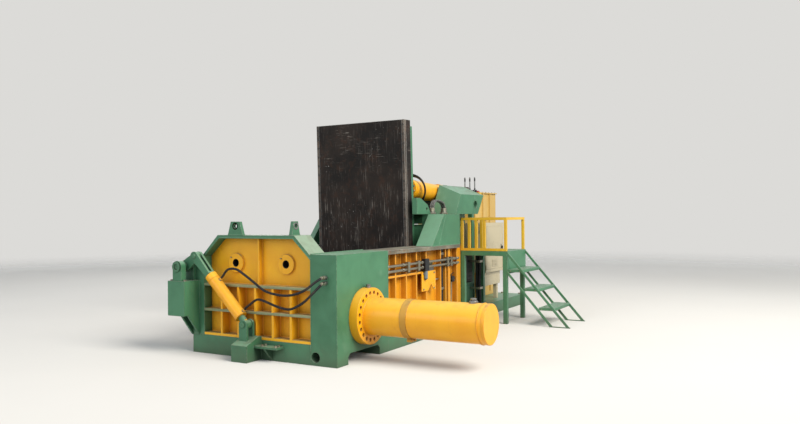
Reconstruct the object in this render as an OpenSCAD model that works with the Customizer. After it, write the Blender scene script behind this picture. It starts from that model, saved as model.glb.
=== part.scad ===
// Hydraulic scrap baler of the turn-out kind, with a swinging lid over an open chamber.
// X runs from the outer end face to the power pack, Y across, Z up from the ground.

/* [Chamber] */
// Width of the charging chamber between the side liners
chamber_w = 1220; // [1000:10:1400]
// Length of the chamber from the end wall to the resting pusher
chamber_l = 1620; // [1400:10:1800]
// Thickness of the bed under the chamber
base_t = 180; // [150:5:220]
// Thickness of every wear liner
liner_t = 20; // [12:1:30]
// Height of the side walls above the ground
wall_top = 970; // [900:10:1050]
// Width of a finished bale, along X
bale_w = 400; // [340:10:440]
// Height of a finished bale
bale_h = 400; // [360:10:420]
// Depth of the end wall, liner included
end_wall_t = 240; // [200:5:280]
// Thickness of the wall on the ram side, liner included
near_wall_t = 300; // [260:10:360]
// Thickness of the wall on the turn-out side, liner included
far_wall_t = 170; // [150:5:220]
// Height of the hardened shear blade on each side wall
blade_h = 70; // [50:5:90]

/* [Bed] */
// Length of the heavy block round the main ram
block_l = 870; // [840:10:960]
// Length of both side walls, from the end face
wall_l = 2980; // [2850:10:3100]
// How far the inner wall runs on past the ribbed side panel
panel_tail = 450; // [380:10:520]
// Thickness of the inner wall behind the ribbed side panel
tail_t = 80; // [60:5:120]
// Length of the bed, from the end face
bed_l = 3490; // [3400:10:3600]
// Height of the outer sill beams
sill_h = 150; // [110:5:170]
// Depth of the recess in the ribbed side of the wall
recess = 100; // [70:5:120]
// Thickness of the top flange of the side walls
flange_t = 40; // [25:5:50]
// Spacing of the upright ribs on the side wall
rib_pitch = 220; // [180:10:260]
// Thickness of the welded ribs
rib_t = 22; // [14:1:30]
// Height of the clear way under the block
foot_cut_h = 95; // [70:5:110]
// Length of the first foot of the block
foot_l = 173; // [140:1:190]
// Length of the clear way under the block
foot_cut_l = 531; // [460:1:560]
// Diameter of the carrying hole through the first foot
carry_hole_d = 90; // [60:2:100]

/* [End wall] */
// Depth of the ribs in front of the end panel
end_rib_depth = 100; // [70:5:120]
// Spacing of the upright ribs on the end panel
end_rib_pitch = 205; // [180:5:230]
// Height of the lower cross rib above the ground
cross_rib_low = 410; // [380:5:440]
// Height of the upper cross rib above the ground
cross_rib_high = 650; // [620:5:680]
// Height of the octagonal panel above the ground
panel_top = 1105; // [1080:5:1140]
// Width of each slanted corner of the panel
corner_y = 190; // [150:5:230]
// Height of each slanted corner of the panel
corner_z = 175; // [120:5:190]
// Thickness of the green plate round the panel
band_t = 30; // [20:2:40]
// Outer diameter of the two round bosses on the panel
boss_d = 180; // [150:5:200]
// Bore of the two round bosses
boss_bore = 76; // [60:2:90]
// Height of the bosses above the ground
boss_z = 870; // [840:5:890]
// Distance between the bosses
boss_pitch = 600; // [540:10:660]
// Thickness of the lifting lugs
lug_t = 34; // [25:1:40]
// Hole in each lifting lug
lug_hole_d = 44; // [30:2:50]

/* [Main ram] */
// Outer diameter of the main cylinder
main_tube_d = 340; // [310:5:360]
// Bore of the main cylinder
main_bore_d = 270; // [240:5:280]
// Length of the main cylinder from its flange face
main_tube_l = 1240; // [1150:10:1400]
// Outer diameter of the main cylinder flange
main_flange_d = 512; // [490:2:540]
// Thickness of the main cylinder flange
main_flange_t = 85; // [60:5:100]
// Number of bolts round the main flange
main_bolts = 20; // [12:2:24]
// Diameter of the main ram's rod
main_rod_d = 190; // [150:5:200]
// Thickness of the block's wall behind the flange
seat_t = 60; // [40:5:80]
// Clearance between a pressing head and its tunnel
head_gap = 4; // [2:1:8]

/* [Long pusher] */
// Length of the pusher head
pusher_l = 500; // [420:10:530]
// Outer diameter of the pusher cylinder
pusher_tube_d = 300; // [260:5:320]
// Bore of the pusher cylinder
pusher_bore_d = 240; // [200:5:245]
// Length of the pusher cylinder behind its head wall
pusher_tube_l = 1560; // [1500:10:1620]
// Diameter of the pusher's rod
pusher_rod_d = 160; // [120:5:180]
// Thickness of the head wall that carries the pusher cylinder
head_wall_t = 70; // [50:5:90]

/* [Lid] */
// Thickness of the lid slab
lid_t = 140; // [110:5:160]
// Length of the lid from its hinge axis to its free edge
lid_reach = 1670; // [1640:5:1680]
// Gap between the lid and each side wall
lid_gap = 20; // [10:1:30]
// Radius of the lid's hinge barrels
hub_r = 98; // [90:1:100]
// Diameter of the hinge pins
hinge_pin_d = 110; // [80:2:120]
// Lean of the open lid towards the chamber, in degrees
lid_lean = 1.8; // [0.5:0.1:3]
// Height of the cylinder lugs above the hinge axis on the open lid
lid_lug_z = 930; // [880:5:950]
// Distance of the lug pin behind the hinge axis
lid_lug_x = 170; // [150:5:190]

/* [Lid cylinders] */
// Outer diameter of the lid cylinders
lift_tube_d = 216; // [190:2:220]
// Bore of the lid cylinders
lift_bore_d = 170; // [150:2:176]
// Diameter of the lid cylinders' rods
lift_rod_d = 110; // [90:2:130]
// Length of the lid cylinder barrels
lift_tube_l = 1500; // [1440:10:1560]
// Distance of each lid cylinder from the centre line
lift_y = 360; // [340:5:380]
// Place of the trunnions along the machine
trunnion_x = 3100; // [3060:5:3140]
// Height of the trunnions above the ground
trunnion_z = 1580; // [1550:5:1590]
// Diameter of the trunnions and the lug pins
lift_pin_d = 70; // [60:2:80]

/* [Cheeks and crosshead] */
// Height of the cheek boxes above the walls
cheek_h = 350; // [320:5:380]
// Start of the cheek box along the wall top
cheek_x = 1815; // [1750:5:1900]
// Run of the cheek's slanted front edge
cheek_slant = 305; // [240:5:340]
// Length of the crosshead along the machine
cross_l = 660; // [620:5:700]
// Lean of the crosshead's front and back faces
cross_lean = 150; // [110:5:180]
// Start of the crosshead along the machine
cross_x = 2640; // [2600:5:2680]
// Height of the crosshead at its sides
cross_side_h = 240; // [220:5:260]
// Height of the crosshead at its ridge
cross_ridge_h = 390; // [370:5:410]
// Diameter of the rigging hole through the crosshead's outer boxes
rig_hole_d = 92; // [70:2:110]

/* [Turn-out] */
// Distance of the turn-out shaft from the inner side of the far wall
shaft_y_off = 190; // [186:1:200]
// Height of the turn-out shaft above the ground
shaft_z = 835; // [825:1:845]
// Diameter of the turn-out shaft
shaft_d = 60; // [50:1:62]
// Length of the turn-out crank
crank_l = 178; // [170:1:190]
// Thickness of the tray's plates
tray_t = 35; // [25:1:40]
// Outer diameter of the turn-out cylinder
turn_tube_d = 112; // [90:2:116]
// Diameter of the turn-out cylinder's rod
turn_rod_d = 46; // [36:1:48]

/* [Platform and stairs] */
// Height of the platform deck
deck_z = 870; // [780:10:960]
// Length of the platform along the machine
deck_l = 640; // [560:10:720]
// Depth of the platform
deck_w = 600; // [520:10:640]
// Height of the guard rail above the deck
rail_h = 406; // [340:2:480]
// Size of the platform's square tubes
leg_t = 50; // [40:2:60]
// Size of the rail's square tubes
rail_t = 32; // [24:1:40]
// Number of stair treads
treads = 3; // [2:1:4]
// Run of the stairs on the ground
stair_run = 750; // [650:10:850]

/* [Power pack] */
// Length of the power pack's skid
skid_l = 1460; // [1440:10:1600]
// Length of the oil tank
tank_l = 750; // [650:10:780]
// Width of the oil tank
tank_w = 900; // [800:10:960]
// Height of the oil tank's top above the ground
tank_top = 1630; // [1500:10:1700]
// Width of the electrical cabinet, along X
cabinet_w = 650; // [560:10:660]
// Depth of the electrical cabinet
cabinet_depth = 290; // [240:10:300]
// Height of the electrical cabinet
cabinet_h = 660; // [600:10:700]
// Diameter of the electric motors
motor_d = 260; // [220:5:280]
// Length of the motor frames
motor_l = 360; // [320:10:380]

/* [Hidden] */
$fn = 48;

// Overrun of every cut
over = 2;
// Gap between flat faces of pieces that move past each other
slide_gap = 3;
// Radial play of every pin and rod in its bore
pin_play = 0.05;

// Planes across the machine
near_in = -chamber_w / 2;
far_in = chamber_w / 2;
near_out = near_in - near_wall_t;
far_out = far_in + far_wall_t;
near_back = near_in - liner_t;
far_back = far_in + liner_t;
near_web = near_out + recess;
far_web = far_out - recess;

// Planes along the machine and heights
floor_z = base_t + liner_t;
chamber_x = end_wall_t;
pusher_x = chamber_x + chamber_l;
bale_x = chamber_x + bale_w;
bale_top = floor_z + bale_h;
rear_room = 330;
bed_end = max(bed_l, wall_l + rear_room);
ram_x = chamber_x + bale_w / 2;
ram_z = floor_z + bale_h / 2;
flange_z = wall_top - flange_t;

// Hinge of the lid
hinge_set = 80;
lid_face_off = hub_r + head_gap / 2;
hinge_x = pusher_x + hinge_set;
hinge_z = bale_top + lid_face_off;
hub_l = 200;

// Depth of the bale that the main ram leaves, and the ram's stroke
bale_d = 420;
ram_stroke = chamber_w - bale_d;
pusher_stroke = chamber_l - bale_w;

// Lid cylinders at rest, from the lug pin on the lid to the trunnion
lug_x = hinge_x + lid_lug_x * cos(lid_lean) - lid_lug_z * sin(lid_lean);
lug_z = hinge_z + lid_lug_x * sin(lid_lean) + lid_lug_z * cos(lid_lean);
lift_angle = atan2(trunnion_z - lug_z, trunnion_x - lug_x);
lift_dist = norm([trunnion_x - lug_x, trunnion_z - lug_z]);
channel_half = lift_tube_d / 2 + 17;

// Turn-out shaft, crank pin and the cylinder's lower pivot
shaft_y = far_in + shaft_y_off;
crank_angle = 146;
crank_y = shaft_y + crank_l * cos(crank_angle);
crank_z = shaft_z + crank_l * sin(crank_angle);
turn_pivot_y = 34;
turn_pivot_z = 324;
turn_angle = atan2(crank_z - turn_pivot_z, crank_y - turn_pivot_y);
turn_dist = norm([crank_y - turn_pivot_y, crank_z - turn_pivot_z]);
// Middle plane of the turn-out cylinder in front of the end face
turn_x = -75;

cheek_top = wall_top + cheek_h;

green = "#4d8a68";
yellow = "#eda81c";
steel = "#8d8f90";
dark_steel = "#38332e";
rail_yellow = "#c9a53a";
cream = "#d9d2b8";
black = "#1c1c1e";
red = "#c2342c";

// Nearest point of a fine grid, so that faces worked out in two ways meet exactly
grid = 64;
function snap(v) = round(v * grid) / grid;
function snap_all(points) = [for (p = points) [for (v = p) snap(v)]];

// Solid block between two opposite corners
module block(a, b) {
    ends = snap_all([a, b]);
    translate(ends[0]) cube(ends[1] - ends[0]);
}

// Round bar along X, Y or Z from one end to the other
module bar_x(d, x0, x1, y, z) {
    translate([snap(x0), y, z]) rotate([0, 90, 0]) cylinder(d = d, h = snap(x1) - snap(x0));
}
module bar_y(d, y0, y1, x, z) {
    translate([x, snap(y1), z]) rotate([90, 0, 0]) cylinder(d = d, h = snap(y1) - snap(y0));
}
module bar_z(d, z0, z1, x, y) {
    translate([x, y, snap(z0)]) cylinder(d = d, h = snap(z1) - snap(z0));
}

// Plate with an outline in Y and Z, from x0 to x1
module plate_x(points, x0, x1) {
    translate([snap(x0), 0, 0]) rotate([90, 0, 90]) linear_extrude(snap(x1) - snap(x0)) polygon(snap_all(points));
}
// Plate with an outline in X and Z, from y0 to y1
module plate_y(points, y0, y1) {
    translate([0, snap(y1), 0]) rotate([90, 0, 0]) linear_extrude(snap(y1) - snap(y0)) polygon(snap_all(points));
}
// Plate with an outline in X and Y, from z0 to z1
module plate_z(points, z0, z1) {
    translate([0, 0, z0]) linear_extrude(z1 - z0) polygon(points);
}

// Places of the turn-out tray in the bale box
tray_side_gap = 25;
tray_x0 = chamber_x + tray_side_gap;
tray_x1 = bale_x - tray_side_gap;
tray_tip_y = far_in - bale_d + head_gap * 2;
tray_back_y = far_in - slide_gap;
tray_pocket_z = floor_z - tray_t - slide_gap;
notch_z = bale_top + 10;

// Bed: floor box between the webs, with a sill beam along each side
module base_frame() {
    color(green) difference() {
        union() {
            plate_z([
                [0, near_back], [block_l, near_back], [block_l, near_web],
                [bed_end, near_web], [bed_end, far_web], [chamber_x, far_web],
                [chamber_x, far_out], [0, far_out]
            ], 0, base_t);
            block([block_l, near_out, 0], [bed_end, near_web + over, sill_h]);
            block([chamber_x, far_web - over, 0], [bed_end, far_out, sill_h]);
        }
        block([chamber_x, tray_tip_y - head_gap, tray_pocket_z], [bale_x, far_in, base_t + over]);
    }
}

// Heavy block that holds the main ram's tunnel and seat
foot_chamfer = 30;
carry_hole_y = near_back - 53;
carry_hole_z = 72;
module near_block() {
    color(green) difference() {
        block([0, near_out, 0], [block_l, near_back, wall_top]);
        block([chamber_x, near_out + seat_t, floor_z], [bale_x, near_back + over, bale_top]);
        bar_y(main_rod_d + 2 * head_gap, near_out - over, near_out + seat_t + over, ram_x, ram_z);
        plate_y([
            [foot_l, -over], [foot_l + foot_cut_l, -over], [foot_l + foot_cut_l, foot_cut_h - foot_chamfer],
            [foot_l + foot_cut_l - foot_chamfer, foot_cut_h], [foot_l + foot_chamfer, foot_cut_h],
            [foot_l, foot_cut_h - foot_chamfer]
        ], near_out - over, near_back + over);
        bar_x(carry_hole_d, -over, foot_l + over, carry_hole_y, carry_hole_z);
    }
}

// Upright ribs of a side wall, between the sill and the flange
rib_inset = 35;
post_t = 60;
rib_start = 200;
panel_ribs = [for (i = [0:3]) block_l + rib_start + i * rib_pitch];
rib_back_x = hinge_x + 140;
rib_end_x = hinge_x + 270;
post_x = hinge_x + 340;
panel_l = max(wall_l - panel_tail, post_x + post_t);
module wall_ribs(y0, y1, x_end) {
    for (x = panel_ribs) block([x, y0, sill_h], [x + rib_t, y1, flange_z]);
    for (x = [rib_back_x, rib_end_x]) block([x, y0, sill_h], [x + rib_t, y1, flange_z]);
    block([post_x, y0, sill_h], [post_x + post_t, y1, flange_z]);
    block([x_end - rib_t, y0, sill_h], [x_end, y1, flange_z]);
}
// Lengthwise rib between the uprights, at a height above the ground
long_rib_z = 690;
module long_rib(x0, y0, y1) {
    xs = concat([x0], [for (x = panel_ribs) x + rib_t]);
    for (i = [0:len(panel_ribs) - 1])
        block([xs[i], y0, long_rib_z], [panel_ribs[i], y1, long_rib_z + rib_t]);
}
module hinge_bore() {
    bar_y(hinge_pin_d + 2 * pin_play, near_out, far_out, hinge_x, hinge_z);
}

// Side wall on the ram side behind the block
module near_wall() {
    color(yellow) {
        difference() {
            block([block_l, near_web, base_t], [panel_l, near_back, flange_z]);
            hinge_bore();
        }
        block([panel_l - over, near_back - tail_t, base_t], [wall_l, near_back, flange_z]);
        wall_ribs(near_out + rib_inset, near_web, panel_l);
        long_rib(block_l, near_out + rib_inset, near_web);
    }
}

// Worn top plate of the near wall
module near_flange() {
    color(steel) {
        block([block_l, near_out, flange_z], [panel_l, near_back, wall_top]);
        block([panel_l - over, near_back - tail_t, flange_z], [wall_l, near_back, wall_top]);
    }
}

// Side wall on the turn-out side, with the notch for the tray's arms
module far_wall() {
    color(yellow) {
        difference() {
            block([chamber_x, far_back, base_t], [wall_l, far_web, flange_z]);
            block([chamber_x - over, far_back - over, notch_z], [bale_x, far_web + over, flange_z + over]);
            hinge_bore();
        }
        wall_ribs(far_web, far_out - rib_inset, wall_l);
        long_rib(rear_bearing_x + bearing_w, far_web, far_out - rib_inset);
        difference() {
            block([bale_x, far_web, sill_h], [bale_x + post_t, far_out, flange_z]);
            bar_x(shaft_d + 2 * slide_gap, bale_x - over, bale_x + post_t + over, shaft_y, shaft_z);
        }
    }
}

// Top plate of the far wall, behind the notch
module far_flange() {
    color(steel) block([bale_x, far_back, flange_z], [wall_l, far_out, wall_top]);
}

// Octagonal end panel with its ribs and two bosses, and the post at its far side
panel_front = end_rib_depth;
panel_shoulder = panel_top - corner_z;
ledge_t = 24;
function octagon_half(side, top, shoulder) = [
    [side, shoulder], [side - corner_y, top], [corner_y - side, top], [-side, shoulder]
];
module end_wall() {
    color(yellow) {
        difference() {
            union() {
                plate_x(concat([[near_back, base_t]], [[far_back, base_t]],
                    octagon_half(far_back, panel_top, panel_shoulder)), panel_front, chamber_x - liner_t);
                for (side = [-1, 1])
                    bar_x(boss_d, panel_front - rib_t, panel_front, side * boss_pitch / 2, boss_z);
            }
            for (side = [-1, 1])
                bar_x(boss_bore, -over, chamber_x, side * boss_pitch / 2, boss_z);
        }
        for (i = [-2:2])
            block([0, i * end_rib_pitch - rib_t / 2, base_t + ledge_t],
                [panel_front, i * end_rib_pitch + rib_t / 2, cross_rib_low]);
        for (i = [-2:2])
            block([0, i * end_rib_pitch - rib_t / 2, cross_rib_low + ledge_t],
                [panel_front, i * end_rib_pitch + rib_t / 2, cross_rib_high]);
        for (z = [base_t, cross_rib_low, cross_rib_high])
            block([0, near_back, z], [panel_front, far_back, z + ledge_t]);
        block([panel_front / 2, -rib_t / 2, cross_rib_high + ledge_t], [panel_front, rib_t / 2, panel_top]);
    }
}

// Green plate round the top of the panel, the far post and the lifting lugs
lug_w = 183;
lug_top_w = 106;
lug_h = 127;
lug_y = 235;
side_lug_inset = 40;
side_lug_y = far_back - corner_y - side_lug_inset;
side_lug_w = 120;
side_lug_x0 = 20;
module end_band() {
    color(green) {
        plate_x(concat(
            [for (p = [3:-1:0]) octagon_half(far_back, panel_top, panel_shoulder)[p]],
            [[far_back, panel_shoulder - over], [far_back + band_t, panel_shoulder - over],
                [far_back + band_t, panel_shoulder + band_t / 2]],
            [for (p = [0:2]) octagon_half(far_back + band_t / 2, panel_top + band_t, panel_shoulder + band_t / 2)[p]],
            [[near_back, panel_shoulder + band_t / 2 * (1 + (corner_z + band_t / 2) / corner_y)]]), 0, chamber_x);
        difference() {
            block([0, far_back, base_t], [chamber_x, far_out, panel_shoulder]);
            bar_x(shaft_d + 2 * slide_gap, -over, chamber_x + over, shaft_y, shaft_z);
        }
        difference() {
            plate_x([
                [lug_y - lug_w / 2, panel_top + band_t - over], [lug_y + lug_w / 2, panel_top + band_t - over],
                [lug_y + lug_top_w / 2, panel_top + band_t + lug_h],
                [lug_y - lug_top_w / 2, panel_top + band_t + lug_h]
            ], 0, lug_t);
            bar_x(lug_hole_d, -over, lug_t + over, lug_y, panel_top + band_t + lug_h * 2 / 3);
        }
        difference() {
            plate_y([
                [side_lug_x0, panel_top + band_t - over], [side_lug_x0 + side_lug_w, panel_top + band_t - over],
                [side_lug_x0 + side_lug_w * 3 / 4, panel_top + band_t + lug_h],
                [side_lug_x0 + side_lug_w / 4, panel_top + band_t + lug_h]
            ], -side_lug_y - lug_t / 2, -side_lug_y + lug_t / 2);
            bar_y(lug_hole_d, -side_lug_y - lug_t, -side_lug_y + lug_t,
                side_lug_x0 + side_lug_w / 2, panel_top + band_t + lug_h * 2 / 3);
        }
    }
}

// Wear plates on the chamber floor, round the tray's pocket
module floor_liner() {
    color(dark_steel) difference() {
        block([chamber_x, near_back, base_t], [pusher_x + pusher_l, far_back, floor_z]);
        block([chamber_x - over, tray_tip_y - head_gap, base_t - over], [bale_x, far_back + over, floor_z + over]);
    }
}

// Wear plates on both side walls and on the end wall
liner_top = wall_top - blade_h;
module wall_liners() {
    color(dark_steel) difference() {
        union() {
            block([chamber_x, near_back, floor_z], [pusher_x + pusher_l, near_in, liner_top]);
            block([chamber_x, far_in, floor_z], [pusher_x + pusher_l, far_back, liner_top]);
            block([chamber_x - liner_t, near_back, base_t], [chamber_x, far_back, panel_shoulder - slide_gap]);
        }
        block([chamber_x, near_back - over, floor_z - over], [bale_x, near_in + over, bale_top]);
        block([chamber_x, far_in - over, notch_z], [bale_x, far_back + over, liner_top + over]);
        hinge_bore();
    }
}

// Hardened strips along the top of both side walls
module shear_blades() {
    color(steel) {
        block([chamber_x, near_back, liner_top], [pusher_x + pusher_l, near_in, wall_top]);
        block([bale_x, far_in, liner_top], [pusher_x + pusher_l, far_back, wall_top]);
    }
}

// Cross wall that carries the pusher cylinder
head_wall_x = pusher_x + pusher_l;
module head_wall() {
    color(green) difference() {
        block([head_wall_x, near_back, base_t], [head_wall_x + head_wall_t, far_back, flange_z]);
        bar_x(pusher_rod_d + 2 * head_gap, head_wall_x - over, head_wall_x + head_wall_t + over, 0, ram_z);
    }
}

// Box on top of a side wall, with a slanted front
module cheek(y0, y1) {
    plate_y([
        [cheek_x, wall_top], [panel_l, wall_top], [panel_l, cheek_top], [cheek_x + cheek_slant, cheek_top]
    ], y0, y1);
}
module near_cheek() {
    color(green) {
        cheek(near_out, near_back - tail_t);
        block([cheek_x + cheek_slant, near_back - tail_t - over, wall_top], [panel_l - over, near_back, cheek_top]);
        block([panel_l - 2 * over, near_back - tail_t, wall_top], [wall_l, near_back, cheek_top]);
    }
}
module far_cheek() {
    color(green) {
        cheek(far_back + tail_t, far_out);
        block([cheek_x + cheek_slant, far_back, wall_top], [panel_l - over, far_back + tail_t + over, cheek_top]);
        block([panel_l - 2 * over, far_back, wall_top], [wall_l, far_back + tail_t, cheek_top]);
    }
}

// Gabled crosshead over the rear of the lid: three boxes with the cylinders between them
gable_run = 400;
rig_hole_x = cross_x + cross_l * 8 / 9;
rig_hole_z = cheek_top + cross_side_h / 2;
cross_beam_h = 120;
cross_beam_front = 150;
cross_beam_back = 200;
cross_back_lean = 1.25;
cross_profile_lean = cross_lean * cross_ridge_h / cross_side_h;
module crosshead() {
    color(green) {
        difference() {
            intersection() {
                plate_y([
                    [cross_x, cheek_top], [cross_x + cross_l, cheek_top],
                    [cross_x + cross_l + cross_profile_lean * cross_back_lean, cheek_top + cross_ridge_h],
                    [cross_x + cross_profile_lean, cheek_top + cross_ridge_h]
                ], near_web, far_web);
                plate_x([
                    [near_web, cheek_top], [far_web, cheek_top], [far_web, cheek_top + cross_side_h],
                    [far_web - gable_run, cheek_top + cross_ridge_h],
                    [near_web + gable_run, cheek_top + cross_ridge_h], [near_web, cheek_top + cross_side_h]
                ], cross_x, cross_x + cross_l + cross_profile_lean * cross_back_lean);
            }
            for (side = [-1, 1])
                block([cross_x - over, side * lift_y - channel_half, cheek_top - over],
                    [cross_x + cross_l * 2, side * lift_y + channel_half, cheek_top + cross_ridge_h + over]);
            bar_y(rig_hole_d, near_web - over, over - lift_y - channel_half, rig_hole_x, rig_hole_z);
        }
        block([trunnion_x - cross_beam_front, near_back, cheek_top - cross_beam_h],
            [trunnion_x + cross_beam_back, far_back, cheek_top]);
    }
}

// Pins of the lid hinge, with their heads in the side recesses
pin_head_t = 20;
pin_head_d = hinge_pin_d * 4 / 3;
module hinge_pins() {
    color(steel) {
        bar_y(hinge_pin_d, near_web, near_in + lid_gap + hub_l, hinge_x, hinge_z);
        bar_y(pin_head_d, near_web - pin_head_t, near_web, hinge_x, hinge_z);
        bar_y(hinge_pin_d, far_in - lid_gap - hub_l, far_web, hinge_x, hinge_z);
        bar_y(pin_head_d, far_web, far_web + pin_head_t, hinge_x, hinge_z);
    }
}

// Hydraulic cylinder along X with its flange face at zero, open at the front for its rod
cap_t = 60;
module cylinder_shell(tube_d, bore_d, tube_l, flange_d, flange_l, rod_d) {
    rotate([0, 90, 0]) difference() {
        union() {
            cylinder(d = tube_d, h = tube_l);
            cylinder(d = flange_d, h = flange_l);
        }
        translate([0, 0, flange_l]) cylinder(d = bore_d, h = tube_l - flange_l - cap_t);
        translate([0, 0, -over]) cylinder(d = rod_d + 2 * pin_play, h = flange_l + 2 * over);
    }
}
// Counterbores or heads of the flange bolts
bolt_head_d = 27;
bolt_hole_d = 32;
bolt_head_h = 20;
bolt_depth = 34;
bolt_share = 0.83;
module bolt_ring(count, flange_d, d, z0, z1) {
    for (i = [0:count - 1]) rotate([0, 90, 0]) rotate([0, 0, 360 * (i + 0.5) / count])
        translate([flange_d / 2 * bolt_share, 0, z0]) cylinder(d = d, h = z1 - z0, $fn = 24);
}
collar_w = 60;
collar_t = 3;
collar_at = 460;
module main_place() {
    translate([ram_x, near_out, ram_z]) rotate([0, 0, -90]) children();
}
module main_cylinder() {
    color(yellow) main_place() difference() {
        union() {
            cylinder_shell(main_tube_d, main_bore_d, main_tube_l, main_flange_d, main_flange_t, main_rod_d);
            difference() {
                bar_x(main_tube_d + 2 * collar_t, collar_at, collar_at + collar_w, 0, 0);
                bar_x(main_tube_d - collar_t, collar_at - over, collar_at + collar_w + over, 0, 0);
            }
        }
        bolt_ring(main_bolts, main_flange_d, bolt_hole_d, main_flange_t - bolt_depth, main_flange_t + over);
    }
}
module main_bolts() {
    color(black) main_place()
        bolt_ring(main_bolts, main_flange_d, bolt_head_d, main_flange_t - bolt_depth,
            main_flange_t - bolt_depth + bolt_head_h);
}

// Rod and piston of a cylinder along X, from its head at x0 to the piston's back
piston_t = 90;
module rod_and_piston(rod_d, bore_d, x0, x1) {
    bar_x(rod_d, x0, x1 - piston_t, 0, 0);
    bar_x(bore_d - 2 * pin_play, x1 - piston_t, x1, 0, 0);
}
piston_rest = 10;
// Pressing head of the main ram with its rod
module main_ram() {
    color(steel) {
        block([chamber_x + head_gap, near_out + seat_t + head_gap, floor_z + head_gap],
            [bale_x - head_gap, near_in, bale_top - head_gap]);
        main_place() rod_and_piston(main_rod_d, main_bore_d, -seat_t - head_gap - over,
            main_tube_l - cap_t - piston_rest);
    }
}

pusher_flange_d = min(pusher_tube_d * 3 / 2, 2 * (ram_z - base_t - head_gap));
pusher_flange_t = 80;
pusher_bolts_n = 16;
module pusher_place() {
    translate([head_wall_x + head_wall_t, 0, ram_z]) children();
}
module pusher_cylinder() {
    color(yellow) pusher_place() difference() {
        cylinder_shell(pusher_tube_d, pusher_bore_d, pusher_tube_l, pusher_flange_d, pusher_flange_t,
            pusher_rod_d);
        bolt_ring(pusher_bolts_n, pusher_flange_d, bolt_hole_d, pusher_flange_t - bolt_depth,
            pusher_flange_t + over);
    }
}
module pusher_bolts() {
    color(black) pusher_place()
        bolt_ring(pusher_bolts_n, pusher_flange_d, bolt_head_d, pusher_flange_t - bolt_depth,
            pusher_flange_t - bolt_depth + bolt_head_h);
}
// Full-width pushing head with its rod
pusher_back_gap = 10;
module long_pusher() {
    color(steel) {
        block([pusher_x, near_in + head_gap, floor_z + head_gap],
            [head_wall_x - pusher_back_gap, far_in - head_gap, bale_top - head_gap]);
        pusher_place() rod_and_piston(pusher_rod_d, pusher_bore_d, -head_wall_t - pusher_back_gap - over,
            pusher_tube_l - cap_t - piston_rest);
    }
}

// Lid, drawn upright about its hinge axis and leaned over as it rests
lid_half = chamber_w / 2 - lid_gap;
lid_back = lid_t - lid_face_off;
lid_blade_w = 34;
lid_blade_t = 40;
lid_blade_z0 = 110;
module lid_place() {
    translate([hinge_x, 0, hinge_z]) rotate([0, -lid_lean, 0]) children();
}
module lid_slab() {
    color(dark_steel) lid_place() difference() {
        union() {
            block([-lid_face_off, -lid_half, 0], [lid_back, lid_half, lid_reach]);
            bar_y(2 * hub_r, -lid_half, -lid_half + hub_l, 0, 0);
            bar_y(2 * hub_r, lid_half - hub_l, lid_half, 0, 0);
        }
        bar_y(hinge_pin_d + 2 * pin_play, -lid_half - over, lid_half + over, 0, 0);
        for (side = [-1, 1])
            block([-lid_face_off - over, min(side * lid_half, side * (lid_half - lid_blade_w)) - (side < 0 ? over : 0),
                    lid_blade_z0],
                [lid_blade_t - lid_face_off, max(side * lid_half, side * (lid_half - lid_blade_w))
                    + (side > 0 ? over : 0), lid_reach + over]);
    }
}
// Hardened strips on the two long edges of the lid
module lid_blades() {
    color(steel) lid_place() for (y = [-lid_half, lid_half - lid_blade_w])
        block([-lid_face_off, y, lid_blade_z0], [lid_blade_t - lid_face_off, y + lid_blade_w, lid_reach]);
}

// Stiffeners and cylinder lugs on the back of the lid
lid_rib_depth = 105;
lid_rib_z0 = 160;
lid_rib_z1 = lid_reach - 60;
lid_rib_t = 30;
lid_cross_zs = [420, 1300];
lid_ribs_y = [0, 185, 540];
lug_r = lift_pin_d;
lug_plate_t = 32;
eye_w = lift_rod_d + head_gap;
lug_foot = 260;
top_box_y0 = -500;
top_box_y1 = -170;
top_box_h = 70;
module lug_plate(y0, y1) {
    difference() {
        union() {
            plate_y([
                [lid_back, lid_lug_z - lug_foot / 2], [lid_back, lid_lug_z + lug_foot / 2],
                [lid_lug_x, lid_lug_z + lug_r], [lid_lug_x, lid_lug_z - lug_r]
            ], y0, y1);
            bar_y(2 * lug_r, y0, y1, lid_lug_x, lid_lug_z);
        }
        bar_y(lift_pin_d + 2 * pin_play, y0 - over, y1 + over, lid_lug_x, lid_lug_z);
    }
}
module lid_ribs() {
    color(green) lid_place() {
        for (y = lid_ribs_y) for (side = (y == 0 ? [1] : [-1, 1]))
            block([lid_back, side * y - lid_rib_t / 2, lid_rib_z0],
                [lid_back + lid_rib_depth, side * y + lid_rib_t / 2, lid_rib_z1]);
        for (z = lid_cross_zs) for (i = [0:3]) {
            ys = [-lid_ribs_y[2], -lid_ribs_y[1], 0, lid_ribs_y[1], lid_ribs_y[2]];
            block([lid_back, ys[i] + lid_rib_t / 2, z], [lid_back + lid_rib_depth, ys[i + 1] - lid_rib_t / 2,
                z + lid_rib_t]);
        }
        for (side = [-1, 1]) {
            lug_plate(side * lift_y - eye_w / 2 - slide_gap - lug_plate_t, side * lift_y - eye_w / 2 - slide_gap);
            lug_plate(side * lift_y + eye_w / 2 + slide_gap, side * lift_y + eye_w / 2 + slide_gap + lug_plate_t);
        }
        block([lid_back, top_box_y0, lid_rib_z1], [lid_back + lid_rib_depth, top_box_y1, lid_rib_z1 + top_box_h]);
    }
}
module lid_lug_pins() {
    color(steel) lid_place() for (side = [-1, 1])
        bar_y(lift_pin_d, side * lift_y - eye_w / 2 - slide_gap - lug_plate_t,
            side * lift_y + eye_w / 2 + slide_gap + lug_plate_t, lid_lug_x, lid_lug_z);
}

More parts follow.
